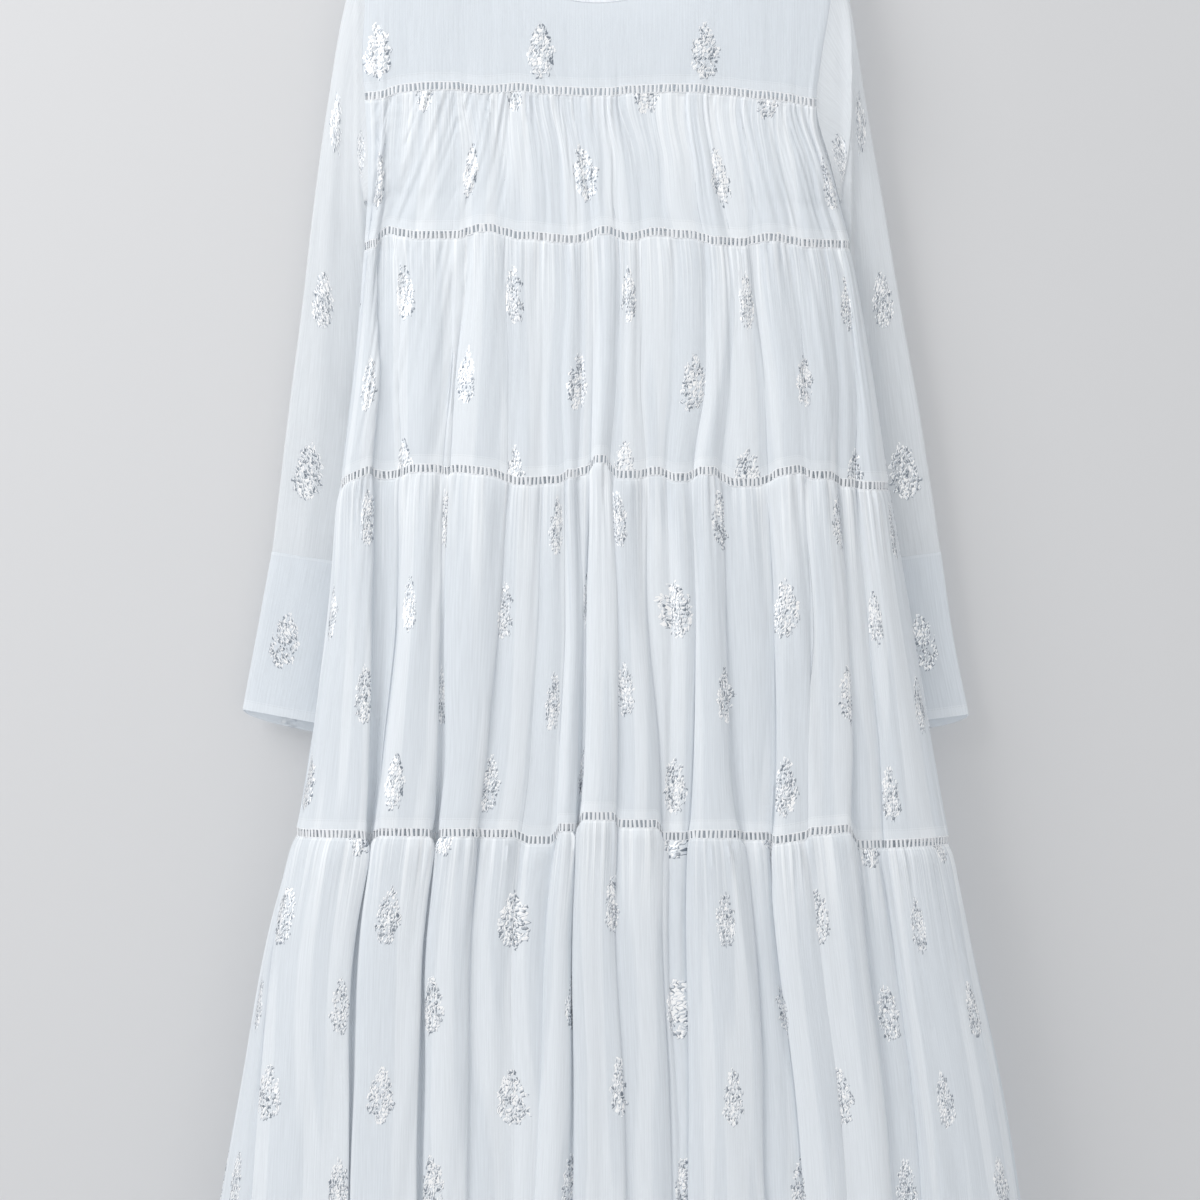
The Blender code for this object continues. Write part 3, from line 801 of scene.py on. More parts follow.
@dataclass
class Yoke:
    """The flat panel from the shoulders and the neck down to the first trim.

    Its top edge goes round the neck above the stretch of the trim that lies within neck_reach of the
    middle, and along the shoulders above the rest. The cloth turns in to the seam over roll_height, and
    has edge_rows rows over edge_height. Its creases start at the foot, the top and the sides over margins.
    Its length is measured down length_column, and print_at is where it lies on the printed cloth.
    neck_drops, columns and rows are the front's and the back's.
    """

    face: Face
    neck_drops: tuple[float, float] = (88.0, 36.0)
    columns: tuple[int, int] = (280, 200)
    rows: tuple[int, int] = (44, 30)
    neck_reach: float = 112.0
    roll_height: float = 12.0
    seam_half_gap: float = 0.3
    edge_height: float = 14.0
    edge_rows: int = 9
    creases: tuple[Creases, ...] = (Creases(0.35, 6, 120, (40, 0)), Creases(0.7, 24, 160, (4, 0)))
    crease_seed: int = 5
    margins: tuple[float, float, float] = (14.0, 20.0, 12.0)
    length_column: int = 10
    print_at: tuple[float, float] = (20.0, 34.0)

    def neck_at(self, p: Array) -> tuple[Array, Array]:
        """The x and the z of the neck's edge, from -1 at its left end to 1 at its right one."""
        angle = math.pi / 4 * (3 * p - p**3)
        return NECK_HALF * np.sin(angle), NECK_HIGH_Z - self.neck_drops[self.face.side] * np.cos(angle)

    def top_edge(self, x: Array, end: Array) -> tuple[Array, Array]:
        """The yoke's top edge above each place on the first trim.

        Args:
            x: the places on the trim.
            end: the x of the trim's own end on each place's side.

        Returns:
            The x and the z of the edge.
        """
        neck_x, neck_z = self.neck_at(np.clip(x / self.neck_reach, -1, 1))
        past = np.clip((np.abs(x) - self.neck_reach) / (np.abs(end) - self.neck_reach), 0, 1)
        shoulder_x = np.sign(x) * (NECK_HALF + (SHOULDER_HALF - NECK_HALF) * past)
        inside = np.abs(x) < self.neck_reach
        return np.where(inside, neck_x, shoulder_x), np.where(inside, neck_z, shoulder_at(past))

    def rolled(self, points: Array, base: Array, below: Array) -> Array:
        """Turns the cloth's top in to the seam over the hanger.

        Args:
            points: the points.
            base: the height whose section each follows.
            below: how far below the seam each is.

        Returns:
            The turned points.
        """
        middle = body_at(base).middle
        stand = np.abs(points[..., 1] - middle)
        stand = self.seam_half_gap + (stand - self.seam_half_gap) * quarter(below / self.roll_height)
        points[..., 1] = middle + self.face.facing.value * stand
        return points

    def hung(self, place: Array, below: Array, share: Array) -> Array:
        """The hung points.

        Args:
            place: the columns' places.
            below: how far each row is below the top edge, in millimetres, before share takes over.
            share: each row's share of the way from there to the trim.

        Returns:
            Rows of points.
        """
        face = self.face
        found = face.at(place, np.zeros((1, 1)))
        trim_x = face.left[0] + (face.right[0] - face.left[0]) * found.share
        top_x, top_z = self.top_edge(trim_x, np.where(trim_x < 0, face.left[0], face.right[0]))
        foot = LINES_Z[0] + found.lift + TRIM_HEIGHT / 2 - TRIM_LAP
        start = top_z - below
        z = start + (foot - start) * share
        down = (top_z - z) / (top_z - foot)
        top_share = (top_x + SHOULDER_HALF) / (2 * SHOULDER_HALF)
        across = top_share + (found.share - top_share) * down
        base = np.where(share >= 1, LINES_Z[0], z)
        points = face.points(across, found.out * down**3, z, base)
        x = points[..., 0]
        past = np.clip(np.abs(x) - NECK_HALF, 0, None) / (SHOULDER_HALF - NECK_HALF)
        points = self.rolled(points, base, shoulder_at(past) - z)
        near_foot, near_top, near_side = self.margins
        height = creased(x, z, self.crease_seed, self.creases)
        calm = ease((z - foot) / near_foot) * ease((top_z - z) / near_top)
        return face.pressed(points, height * calm * from_ends(x, near_side))

    def build(self) -> Piece:
        """Cuts and hangs the yoke.

        Returns:
            The finished piece, still undressed.
        """
        name = f"yoke_{self.face.name}"
        columns, rows = self.columns[self.face.side], self.rows[self.face.side]
        near, far = self.edge_rows, rows + 1 - self.edge_rows
        below = np.concatenate([np.linspace(0, 1, near) ** 1.5, np.ones(far)]) * self.edge_height
        share = np.concatenate([np.zeros(near), np.linspace(0, 1, far + 1)[1:]])
        points = self.hung(self.face.places(columns)[None, :], below[:, None], share[:, None])
        across = lengths_along(points)[-1]
        down = lengths_along(points[:, self.length_column][None])[0]
        self.flat = (float(across[-1]) * MM, float(down[-1]) * MM)
        cloth = Cloth(f"{name}_cloth", columns, rows, SHEER, self.print_at, not self.face.front)
        return cloth.finish(cloth.hang(points, across, down[-1] - down, level=True), name)

    def neck_line(self, count: int) -> Array:
        """Points along the yoke's edge round the neck.

        Args:
            count: how many.

        Returns:
            One row of points, from left to right.
        """
        x, z = self.neck_at(np.linspace(-1, 1, count))
        share = ((x + SHOULDER_HALF) / (2 * SHOULDER_HALF))[None, :]
        points = self.face.points(share, 0 * share, z[None, :], z[None, :])[0]
        return self.rolled(points, z, NECK_HIGH_Z - z)


@dataclass
class LadderTrim:
    """A narrow insertion trim: two rails and a ladder of bars between them.

    number is 0 for the trim at the yoke. rail_bulge is how far a rail's middle stands out, and flatness a
    bar's depth as a share of its width. stray, lean and fatness are how far the bars differ in place, in
    slope and in width. The bars have bar_sides sides each, and lie along a line of line_columns steps.
    """

    face: Face
    number: int
    pitch: float = 3.4
    bar_radius: float = 1.05
    bar_height: float = 6.2
    rail_height: float = 0.4
    rail_thickness: float = 0.6
    rail_bulge: float = 0.25
    flatness: float = 0.8
    stray: tuple[float, float] = (-0.35, 0.35)
    lean: tuple[float, float] = (-0.12, 0.12)
    fatness: tuple[float, float] = (0.85, 1.25)
    rail_columns: tuple[int, int] = (340, 220)
    bar_sides: int = 6
    line_columns: int = 900
    seed: int = 40

    def rail(self, rise: float) -> Piece:
        """One rail of the ladder.

        Args:
            rise: its middle's height above the trim's.

        Returns:
            The rail.
        """
        columns = self.rail_columns[self.face.side]
        place = self.face.places(columns)[None, :]
        half = self.rail_height / 2
        points = np.stack([self.face.line(self.number, place, rise + up) for up in (half, 0, -half)])
        points[1, :, 1] += self.face.facing.value * self.rail_bulge
        cloth = Cloth("rail", columns, 2, turned=not self.face.front)
        rail = cloth.hang(points, lengths_along(points)[-1], np.array([self.rail_height, half, 0.0]))
        modify(rail, "SOLIDIFY", thickness=self.rail_thickness * MM, offset=0.0)
        return rail

    def bars(self) -> Piece:
        """The ladder's bars: one is made, repeated by an array, and the row is bent along the trim.

        Returns:
            All the bars as one piece.
        """
        line = self.face.line(self.number, self.face.places(self.line_columns)[None, :], 0.0)
        along = lengths_along(line[None])[0]
        count = int(along[-1] // self.pitch) - 1
        bpy.ops.mesh.primitive_cylinder_add(
            vertices=self.bar_sides, radius=self.bar_radius * MM, depth=self.bar_height * MM
        )
        bars = bpy.context.object
        apart = {"use_relative_offset": False, "use_constant_offset": True}
        modify(bars, "ARRAY", count=count, constant_offset_displace=(self.pitch * MM, 0, 0), **apart)
        flat = points_of(bars)
        number = np.rint(flat[:, 0] / self.pitch).astype(int)
        rng = np.random.default_rng(self.seed + self.number + 10 * self.face.side)
        limits = (self.stray, self.lean, self.fatness)
        stray, lean, fat = (rng.uniform(low, high, count)[number] for low, high in limits)
        start = (along[-1] - (count - 1) * self.pitch) / 2 + number * self.pitch
        reach = start + (flat[:, 0] - number * self.pitch) * fat + stray + lean * flat[:, 2]
        placed = np.stack([np.interp(reach, along, values) for values in line.T], 1)
        placed[:, 1] += flat[:, 1] * self.flatness
        placed[:, 2] += flat[:, 2]
        move_to(bars, placed)
        bars.data.uv_layers[0].name = "print"
        bars.data.uv_layers.new(name="edges")
        return bars

    def build(self) -> Piece:
        """Joins the rails and the bars.

        Returns:
            The finished trim, still undressed.
        """
        name = f"ladder_trim_{self.number + 1}_{self.face.name}"
        rise = (TRIM_HEIGHT - self.rail_height) / 2
        choose(self.rail(rise), self.rail(-rise), self.bars())
        bpy.ops.object.join()
        trim = bpy.context.object
        trim.name = trim.data.name = f"{name}_threads"
        return place_in_part(trim, name, sharp=50)


class Cut(NamedTuple):
    """A flat section of a sleeve: its two edges, how far behind the hanger they lie, half its depth, and
    how far its back layer hangs below its front one."""

    outer_x: float
    outer_z: float
    inner_x: float
    inner_z: float
    outer_y: float
    inner_y: float
    half_depth: float
    back_drop: float

    def ring(self, angle: Array) -> Array:
        """The points round the section.

        Args:
            angle: where round it, from the outer edge over the front layer.

        Returns:
            One row of points.
        """
        outer = (1 + np.cos(angle)) / 2
        bulge = np.sign(np.sin(angle)) * np.abs(np.sin(angle)) ** 0.8
        x = self.inner_x + (self.outer_x - self.inner_x) * outer
        y = self.inner_y + (self.outer_y - self.inner_y) * outer - self.half_depth * bulge
        z = self.inner_z + (self.outer_z - self.inner_z) * outer - self.back_drop * np.clip(-bulge, 0, None)
        return np.stack([x, y, z], -1)


# Each section's outer and inner edge as x and z, and then, for both sides, its last four sizes. The last
# section of the sleeve is the cuff's first one.
SLEEVE_CUTS = 6
EDGES = {
    Side.LEFT: (
        (-200, -156, -185, -312),
        (-214, -234, -177, -330),
        (-225, -312, -166, -372),
        (-234, -390, -150, -425),
        (-244, -468, -137, -491),
        (-258, -586, -148, -603),
        (-270, -651, -160, -670),
        (-281, -710, -173, -730),
    ),
    Side.RIGHT: (
        (196, -156, 189, -312),
        (209, -234, 181, -330),
        (223, -312, 172, -372),
        (236, -390, 161, -425),
        (250, -468, 147, -491),
        (268, -586, 157, -602),
        (278, -655, 168, -672),
        (290, -714, 181, -728),
    ),
}
DEPTHS = (
    (1, -2, 7.5, 0),
    (5, 6, 8, 0),
    (8, 15, 7.5, 0),
    (9, 18, 7, 0),
    (9, 19, 6.5, 0),
    (9, 18, 6, 0),
    (9, 17, 6, 2),
    (9, 16, 7, 8),
)


class Crest(NamedTuple):
    """The fold of a sleeve's front layer: how far out its crest hangs, the heights where it starts and
    ends, how far it stands forward, and the lengths over which it falls back, starts and fades."""

    out: float
    top: float
    foot: float
    depth: float
    fall: float = 2.5
    start: float = 30.0
    fade: float = 110.0


CRESTS = {Side.LEFT: Crest(190, -120, -330, 3), Side.RIGHT: Crest(197, -130, -440, 7)}


@dataclass
class Sleeve:
    """A straight sleeve from its armhole to its cuff, and the cuff.

    crease and cuff_crease are how deep their soft creases are, start is the length over which the creases
    start, and usual_length and across_half are the length and half the width that they are set out over.
    print_at is where the two lie on the printed cloth, apart from a millimetre that tells the sides from
    each other.
    """

    side: Side
    columns: int = 84
    rows: int = 110
    cuff_rows: int = 36
    cuff_length: float = 128.0
    cuff_thickness: float = 1.0
    armhole_gap: float = 0.15
    seam_gap: float = 0.2
    cap_height: float = 12.0
    crease: float = 1.5
    cuff_crease: float = 0.7
    start: float = 30.0
    across_half: float = 50.0
    usual_length: float = 400.0
    wide_creases: Creases = Creases(1, 16, 150, (30, 0))
    narrow_creases: Creases = Creases(0.4, 7, 90, (50, 0))
    seed: int = 60
    cuff_seed: int = 80
    print_at: tuple[float, float] = (5.0, 46.0)

    def __post_init__(self) -> None:
        """Sets out the angles round the sleeve, from its inner edge over the front layer."""
        self.angle = np.linspace(math.pi, -math.pi, self.columns + 1)

    def armhole_ring(self) -> Array:
        """The sleeve's seam round the armhole.

        Returns:
            One row of points.
        """
        half = (SHOULDER_LOW_Z - UNDERARM_Z) / 2
        z = SHOULDER_LOW_Z - half + half * np.cos(self.angle)
        section = body_at(z)
        edge = section.left if self.side is Side.LEFT else section.right
        depth = armhole_depth(z) * quarter((SHOULDER_LOW_Z - z) / self.cap_height)
        depth = np.where(np.sin(self.angle) < 0, -depth, depth)
        return np.stack([edge + self.side.value * self.armhole_gap, section.middle - depth, z], -1)

    def tube(self, rings: Array, share: Array) -> Array:
        """Rows of points down a tube.

        Args:
            rings: the rings that it goes through, from the top.
            share: how far down each row is, from 0 to 1.

        Returns:
            Rows of points.
        """
        gone = lengths_along(rings.mean(1)[None])[0]
        return spline(share * gone[-1], gone, rings)

    def ripple(self, down: Array, seed: int) -> Array:
        """How far soft creases that run down the sleeve stand forward.

        Args:
            down: how far down each row is, in millimetres.
            seed: which creases they are.

        Returns:
            The height at each point, as a share of how deep the creases are.
        """
        front = np.sin(self.angle)[None, :]
        across, down = (np.cos(self.angle)[None, :] + 1) * self.across_half, down[:, None]
        apart = 10 * self.wide_creases.width * np.sign(front)  # the two layers have creases of their own
        noise = creased(across + apart, down, seed, [self.wide_creases])
        noise = noise + creased(across, down, seed + 1, [self.narrow_creases])
        return noise * ease(down / self.start) * np.abs(front) ** 0.5 * np.sign(front)

    def fold(self, points: Array) -> Array:
        """How far forward the front layer's inner part stands, in a fold from the shoulder to the underarm.

        Args:
            points: rows of points.

        Returns:
            A height for each point.
        """
        crest = CRESTS[self.side]
        front = np.clip(np.sin(self.angle), 0, None)[None, :] ** 0.5
        x, z = np.abs(points[..., 0]), points[..., 2]
        inner = x[:, :1]
        rise = np.clip((x - inner) / np.maximum(crest.out - inner, 1), 0, 1) ** 1.5
        drop = ease((crest.out + crest.fall - x) / crest.fall)
        reach = ease((crest.top - z) / crest.start) * ease((z - crest.foot) / crest.fade)
        return crest.depth * rise * drop * reach * front

    def panel(self, kind: str, points: Array, across: Array, up: Array, thickness: float) -> Piece:
        """Cuts and hangs the sleeve or the cuff.

        Args:
            kind: which of them it is.
            points: its rows of points.
            across: each column's place on the flat cut.
            up: each row's place on the flat cut.
            thickness: the cloth's.

        Returns:
            The finished piece, still undressed.
        """
        name = f"{kind}_{self.side.name.lower()}"
        along, above = self.print_at
        if kind == "cuff":
            above += NO_HEM - self.cuff_length
        print_at = (along + self.side.value, above)
        turned = self.side is Side.LEFT
        cloth = Cloth(f"{name}_cloth", self.columns, len(points) - 1, thickness, print_at, turned)
        return cloth.finish(cloth.hang(points, across, up), name)

    def build(self) -> tuple[Piece, Piece]:
        """Cuts and hangs the sleeve and its cuff.

        Returns:
            The sleeve and the cuff, still undressed.
        """
        cuts = [Cut(*edges, *depths) for edges, depths in zip(EDGES[self.side], DEPTHS)]
        rings = np.stack([cut.ring(self.angle) for cut in cuts])
        share = np.linspace(0, 1, self.rows + 1)
        points = self.tube(np.concatenate([self.armhole_ring()[None], rings[:SLEEVE_CUTS]]), share)
        ripple = self.ripple(share * self.usual_length, self.seed + self.side.value)
        points[..., 1] -= self.crease * ripple + self.fold(points)
        across = lengths_along(points)[len(points) * 2 // 3]
        down = lengths_along(points[:, self.columns // 3][None])[0]
        sleeve = self.panel("sleeve", points, across, down[-1] - down + NO_HEM, SHEER)
        self.flat = (float(across[-1]) * MM, float(down[-1]) * MM)
        self.area = cloth_area(points)
        share = np.linspace(0, 1, self.cuff_rows + 1)
        points = self.tube(rings[SLEEVE_CUTS - 1 :], share)
        ripple = self.ripple(share * self.cuff_length + self.start, self.cuff_seed + self.side.value)
        points[..., 1] -= self.cuff_crease * ripple
        points[..., 2] += self.seam_gap
        across = lengths_along(points)[-1]
        cuff = self.panel("cuff", points, across, (1 - share) * self.cuff_length, self.cuff_thickness)
        self.cuff_flat = (float(across[-1]) * MM, self.cuff_length * MM)
        return sleeve, cuff


@dataclass
class NeckBinding:
    """The bias strip round the neck, a gap above the edges of the yokes that it binds.

    It has count points along each yoke's edge, and rows cells across its width.
    """

    front: Yoke
    back: Yoke
    width: float = 8.2
    gap: float = 0.4
    thickness: float = 1.2
    count: int = 90
    rows: int = 6

    def build(self) -> Piece:
        """Cuts and hangs the binding.

        Returns:
            The finished piece, still undressed.
        """
        front, back = self.front.neck_line(self.count), self.back.neck_line(self.count)
        loop = np.concatenate([front[:-1], back[::-1]])
        loop[[0, self.count - 1, -1], 1] = 0
        around = np.roll(loop[:-1], -1, 0) - np.roll(loop[:-1], 1, 0)
        around = np.concatenate([around, around[:1]])
        inward = np.array([0, 0, NECK_HIGH_Z]) - loop
        inward[:, 1] = 0
        inward[np.abs(loop[:, 1]) < 1, 2] = 0
        inward -= around * (np.sum(inward * around, 1) / np.sum(around**2, 1))[:, None]
        inward /= np.linalg.norm(inward, axis=1, keepdims=True)
        rise = np.linspace(self.width + self.gap, self.gap, self.rows + 1)
        points = loop + inward * rise[:, None, None]
        cloth = Cloth("neck_binding_cloth", len(loop) - 1, self.rows, self.thickness)
        piece = cloth.hang(points, lengths_along(points)[-1], rise - self.gap + NO_HEM)
        return cloth.finish(piece, "neck_binding")


def tone(colour: Colour, share: float = 1.0) -> tuple[float, ...]:
    """A share of a colour, with its alpha."""
    return (*(value * share for value in colour), 1)


@dataclass(frozen=True)
class Wire:
    """A node's output. Sums are written with it as with a number, and each one adds a node."""

    graph: "Graph"
    socket: bpy.types.NodeSocket

    def __add__(self, other: "Wire | float") -> "Wire":
        """Both together."""
        return self.graph.math("ADD", self, other)

    def __sub__(self, other: "Wire | float") -> "Wire":
        """This less another."""
        return self.graph.math("SUBTRACT", self, other)

    def __rsub__(self, other: float) -> "Wire":
        """A number less this."""
        return self.graph.math("SUBTRACT", other, self)

    def __mul__(self, other: "Wire | float") -> "Wire":
        """This times another."""
        return self.graph.math("MULTIPLY", self, other)

    def __truediv__(self, other: "Wire | float") -> "Wire":
        """This divided by another."""
        return self.graph.math("DIVIDE", self, other)

    def __pow__(self, power: float) -> "Wire":
        """This to a power."""
        return self.graph.math("POWER", self, power)

    def __abs__(self) -> "Wire":
        """This without its sign."""
        return self.graph.math("ABSOLUTE", self)

    def __lt__(self, other: "Wire | float") -> "Wire":
        """1 where this is less than another, and 0 elsewhere."""
        return self.graph.math("LESS_THAN", self, other)


@dataclass
class Graph:
    """A material's nodes, with short ways to add to them."""

    material: Material

    @classmethod
    def new(cls, name: str) -> "Graph":
        """Starts a material with no nodes.

        Args:
            name: the material's name.

        Returns:
            Its empty graph.
        """
        material = bpy.data.materials.new(name)
        material.use_nodes = True
        material.node_tree.nodes.clear()
        return cls(material)

    def add(self, kind: str, given: dict | None = None, **settings: object) -> bpy.types.Node:
        """Adds a node.

        Args:
            kind: its type.
            given: what its inputs are given, by their names or numbers: a value or a wire.
            settings: its own properties.

        Returns:
            The node.
        """
        node = self.material.node_tree.nodes.new("ShaderNode" + kind)
        for name, value in settings.items():
            setattr(node, name, value)
        for name, value in (given or {}).items():
            if isinstance(value, Wire):
                self.material.node_tree.links.new(value.socket, node.inputs[name])
            else:
                node.inputs[name].default_value = value
        return node

    def out(self, node: bpy.types.Node, name: int | str = 0) -> Wire:
        """One of a node's outputs, by its name or its number."""
        return Wire(self, node.outputs[name])

    def math(self, operation: str, *values: Wire | float, clamp: bool = False) -> Wire:
        """A number worked out from others, kept from 0 to 1 where it is clamped."""
        given = dict(enumerate(values))
        return self.out(self.add("Math", given, operation=operation, use_clamp=clamp))

    def vector(self, operation: str, *values: Wire | Sequence[float]) -> Wire:
        """A place worked out from others, or the number that a dot product gives."""
        node = self.add("VectorMath", dict(enumerate(values)), operation=operation)
        return self.out(node, "Value" if operation == "DOT_PRODUCT" else "Vector")

    def ramp(self, *values: Wire | float) -> Wire:
        """A smooth step in the first value, between two others, and from 0 to 1 or from and to two more."""
        return self.out(self.add("MapRange", dict(enumerate(values)), interpolation_type="SMOOTHSTEP"))

    def place(self, uv: str | None, *scale: float) -> Wire:
        """Where a point is, stretched.

        Args:
            uv: the map that it is read from, or None for the point's own place.
            scale: how many units there are to a metre, each way.

        Returns:
            The place.
        """
        own = self.out(self.add("UVMap", uv_map=uv)) if uv else self.out(self.add("TexCoord"), "Object")
        return self.vector("MULTIPLY", own, scale)

    def split(self, at: Wire) -> tuple[Wire, Wire]:
        """A place's x and y, or a colour's first two numbers."""
        node = self.add("SeparateXYZ", {0: at})
        return self.out(node, "X"), self.out(node, "Y")

    def noise(self, at: Wire, detail: float, flat: bool = True) -> Wire:
        """Noise from 0 to 1, one bump to a unit.

        Args:
            at: the place.
            detail: how many finer layers it has.
            flat: whether it is flat or solid noise.

        Returns:
            The noise.
        """
        given = {"Vector": at, "Scale": 1.0, "Detail": detail}
        return self.out(self.add("TexNoise", given, noise_dimensions="2D" if flat else "3D"), "Fac")

    def mix(self, share: Wire, a: Wire | Sequence[float], b: Wire | Sequence[float]) -> Wire:
        """A colour between two, by the share of the second."""
        return self.out(self.add("Mix", {0: share, 6: a, 7: b}, data_type="RGBA"), 2)

    def blend(self, share: Wire | float, a: Wire, b: Wire) -> Wire:
        """A shader between two, by the share of the second."""
        return self.out(self.add("MixShader", {0: share, 1: a, 2: b}))

    def bump(self, height: Wire, distance: float, **under: Wire) -> Wire:
        """The direction of a surface with bumps as high as a distance, on its own one or another Normal."""
        return self.out(self.add("Bump", {"Height": height, "Distance": distance, **under}))

    def clear(self) -> Wire:
        """A shader that shows what is behind it."""
        return self.out(self.add("BsdfTransparent"))

    def surface(self, given: dict[str, object]) -> Wire:
        """A shader for a surface with the colour, roughness and so on that it is given."""
        return self.out(self.add("BsdfPrincipled", given))

    def end(self, shader: Wire) -> Material:
        """Ends the graph in a shader, and returns the material."""
        self.add("OutputMaterial", {"Surface": shader})
        return self.material


@dataclass(frozen=True)
class LeafPrint:
    """A small leaf in silver foil, repeated in a half drop, and made of rounded flakes of foil.

    Sizes are in millimetres. across and down are the repeat's. shift is how far the flakes stray from
    their rows, and bumps how often to a millimetre. foot and tip are the powers that shape a leaf's two
    ends, with swell to make up its width, and ragged is how uneven its outline is, and how many bumps that
    has to a millimetre. zones says how often the foil turns lighter or darker to a metre, and lost is the
    share of flakes that have rubbed off in the dark and in the light ones. rim is where a flake ends, dome
    where its top ends and its side is steepest, and lit the way that the side of each flake with a painted
    highlight faces; the other side has painted shade. by_painted_slope, by_zone, by_flake and least make up
    how
    light the foil is: by_painted_slope weighs the painted highlight and shade, and by_zone and by_flake a
    lightness that varies at random from zone to zone and from flake to flake, partly the foil's own tone
    and partly painted reflection.
    """

    across: float = 64.0
    down: float = 135.0
    width: float = 21.0
    height: float = 44.0
    flake: tuple[float, float] = (1.6, 3.2)
    shift: tuple[float, float, float] = (4.5, 3.0, 0.0)
    bumps: float = 0.25
    foot: float = 0.45
    tip: float = 0.75
    swell: float = 1.1
    ragged: tuple[float, float] = (0.6, 0.14)
    zones: tuple[float, float, float] = (85, 60, 1)
    lost: tuple[float, float] = (0.3, 0.05)
    rim: tuple[float, float] = (0.55, 0.75)
    dome: tuple[float, float] = (0.12, 0.45)
    painted_light_from: tuple[float, float, float] = (-0.62, 0.55, 0.0)
    by_painted_slope: float = 1.3
    by_zone: float = 0.8
    by_flake: float = 0.7
    least: float = -0.29

    def draw(self, graph: Graph) -> tuple[Wire, Wire]:
        """Draws the leaves.

        Args:
            graph: the material's graph.

        Returns:
            Where there is foil, and how light it is with its painted highlight, shade and reflection, both
            from 0 to 1.
        """
        wide, high = self.flake
        at = graph.place("print", 1000, 1000, 1000)
        given = {"Vector": at, "Scale": self.bumps, "Detail": 1.0}
        wobble = graph.out(graph.add("TexNoise", given, noise_dimensions="2D"), "Color")
        shifted = graph.vector("MULTIPLY_ADD", wobble, self.shift, at)
        squeezed = graph.vector("MULTIPLY", shifted, (1 / wide, 1 / high, 0.0))
        cells = graph.add("TexVoronoi", {"Vector": squeezed, "Scale": 1.0}, voronoi_dimensions="2D")
        middle, away = graph.out(cells, "Position"), graph.out(cells, "Distance")
        luck, shade = graph.split(graph.out(cells, "Color"))
        zone = graph.noise(graph.place("print", *self.zones), 1.0)
        kept = graph.ramp(zone, 0.3, 0.5, *self.lost) < luck
        inside = self.leaf(graph, graph.vector("MULTIPLY", middle, (wide, high, 0.0)))
        foil = inside * kept * graph.ramp(away, *self.rim, 1.0, 0.0)
        # Painted highlight and shade: each flake is lighter on the side that faces lit and darker on the
        # other. zone and shade add a lightness that varies at random, partly the foil's own tone and partly
        # painted reflection.
        facing = graph.vector("DOT_PRODUCT", graph.vector("SUBTRACT", squeezed, middle), self.painted_light_from)
        slope = facing * graph.ramp(away, *self.dome)
        light = slope * self.by_painted_slope + zone * self.by_zone + shade * self.by_flake
        return foil, graph.math("ADD", light, self.least, clamp=True)

    def leaf(self, graph: Graph, at: Wire) -> Wire:
        """Whether a place is in one of the leaves.

        Args:
            graph: the material's graph.
            at: the place, in millimetres.

        Returns:
            1 inside and 0 outside.
        """
        x, y = graph.split(at)
        column = x / self.across
        odd = graph.math("FLOORED_MODULO", graph.math("FLOOR", column), 2.0)
        row = (y + odd * (self.down / 2)) / self.down
        x = (graph.math("FRACT", column) - 0.5) * self.across
        y = (graph.math("FRACT", row) - 0.5) * self.down
        up = graph.math("ADD", y / self.height, 0.5, clamp=True)
        half = up**self.foot * (1.0 - up) ** self.tip * (self.swell * self.width)
        uneven, bumps = self.ragged
        ragged = graph.noise(graph.vector("MULTIPLY", at, (bumps, bumps, bumps)), 0.0)
        return abs(x) < half * (ragged * uneven + (1 - uneven / 2))


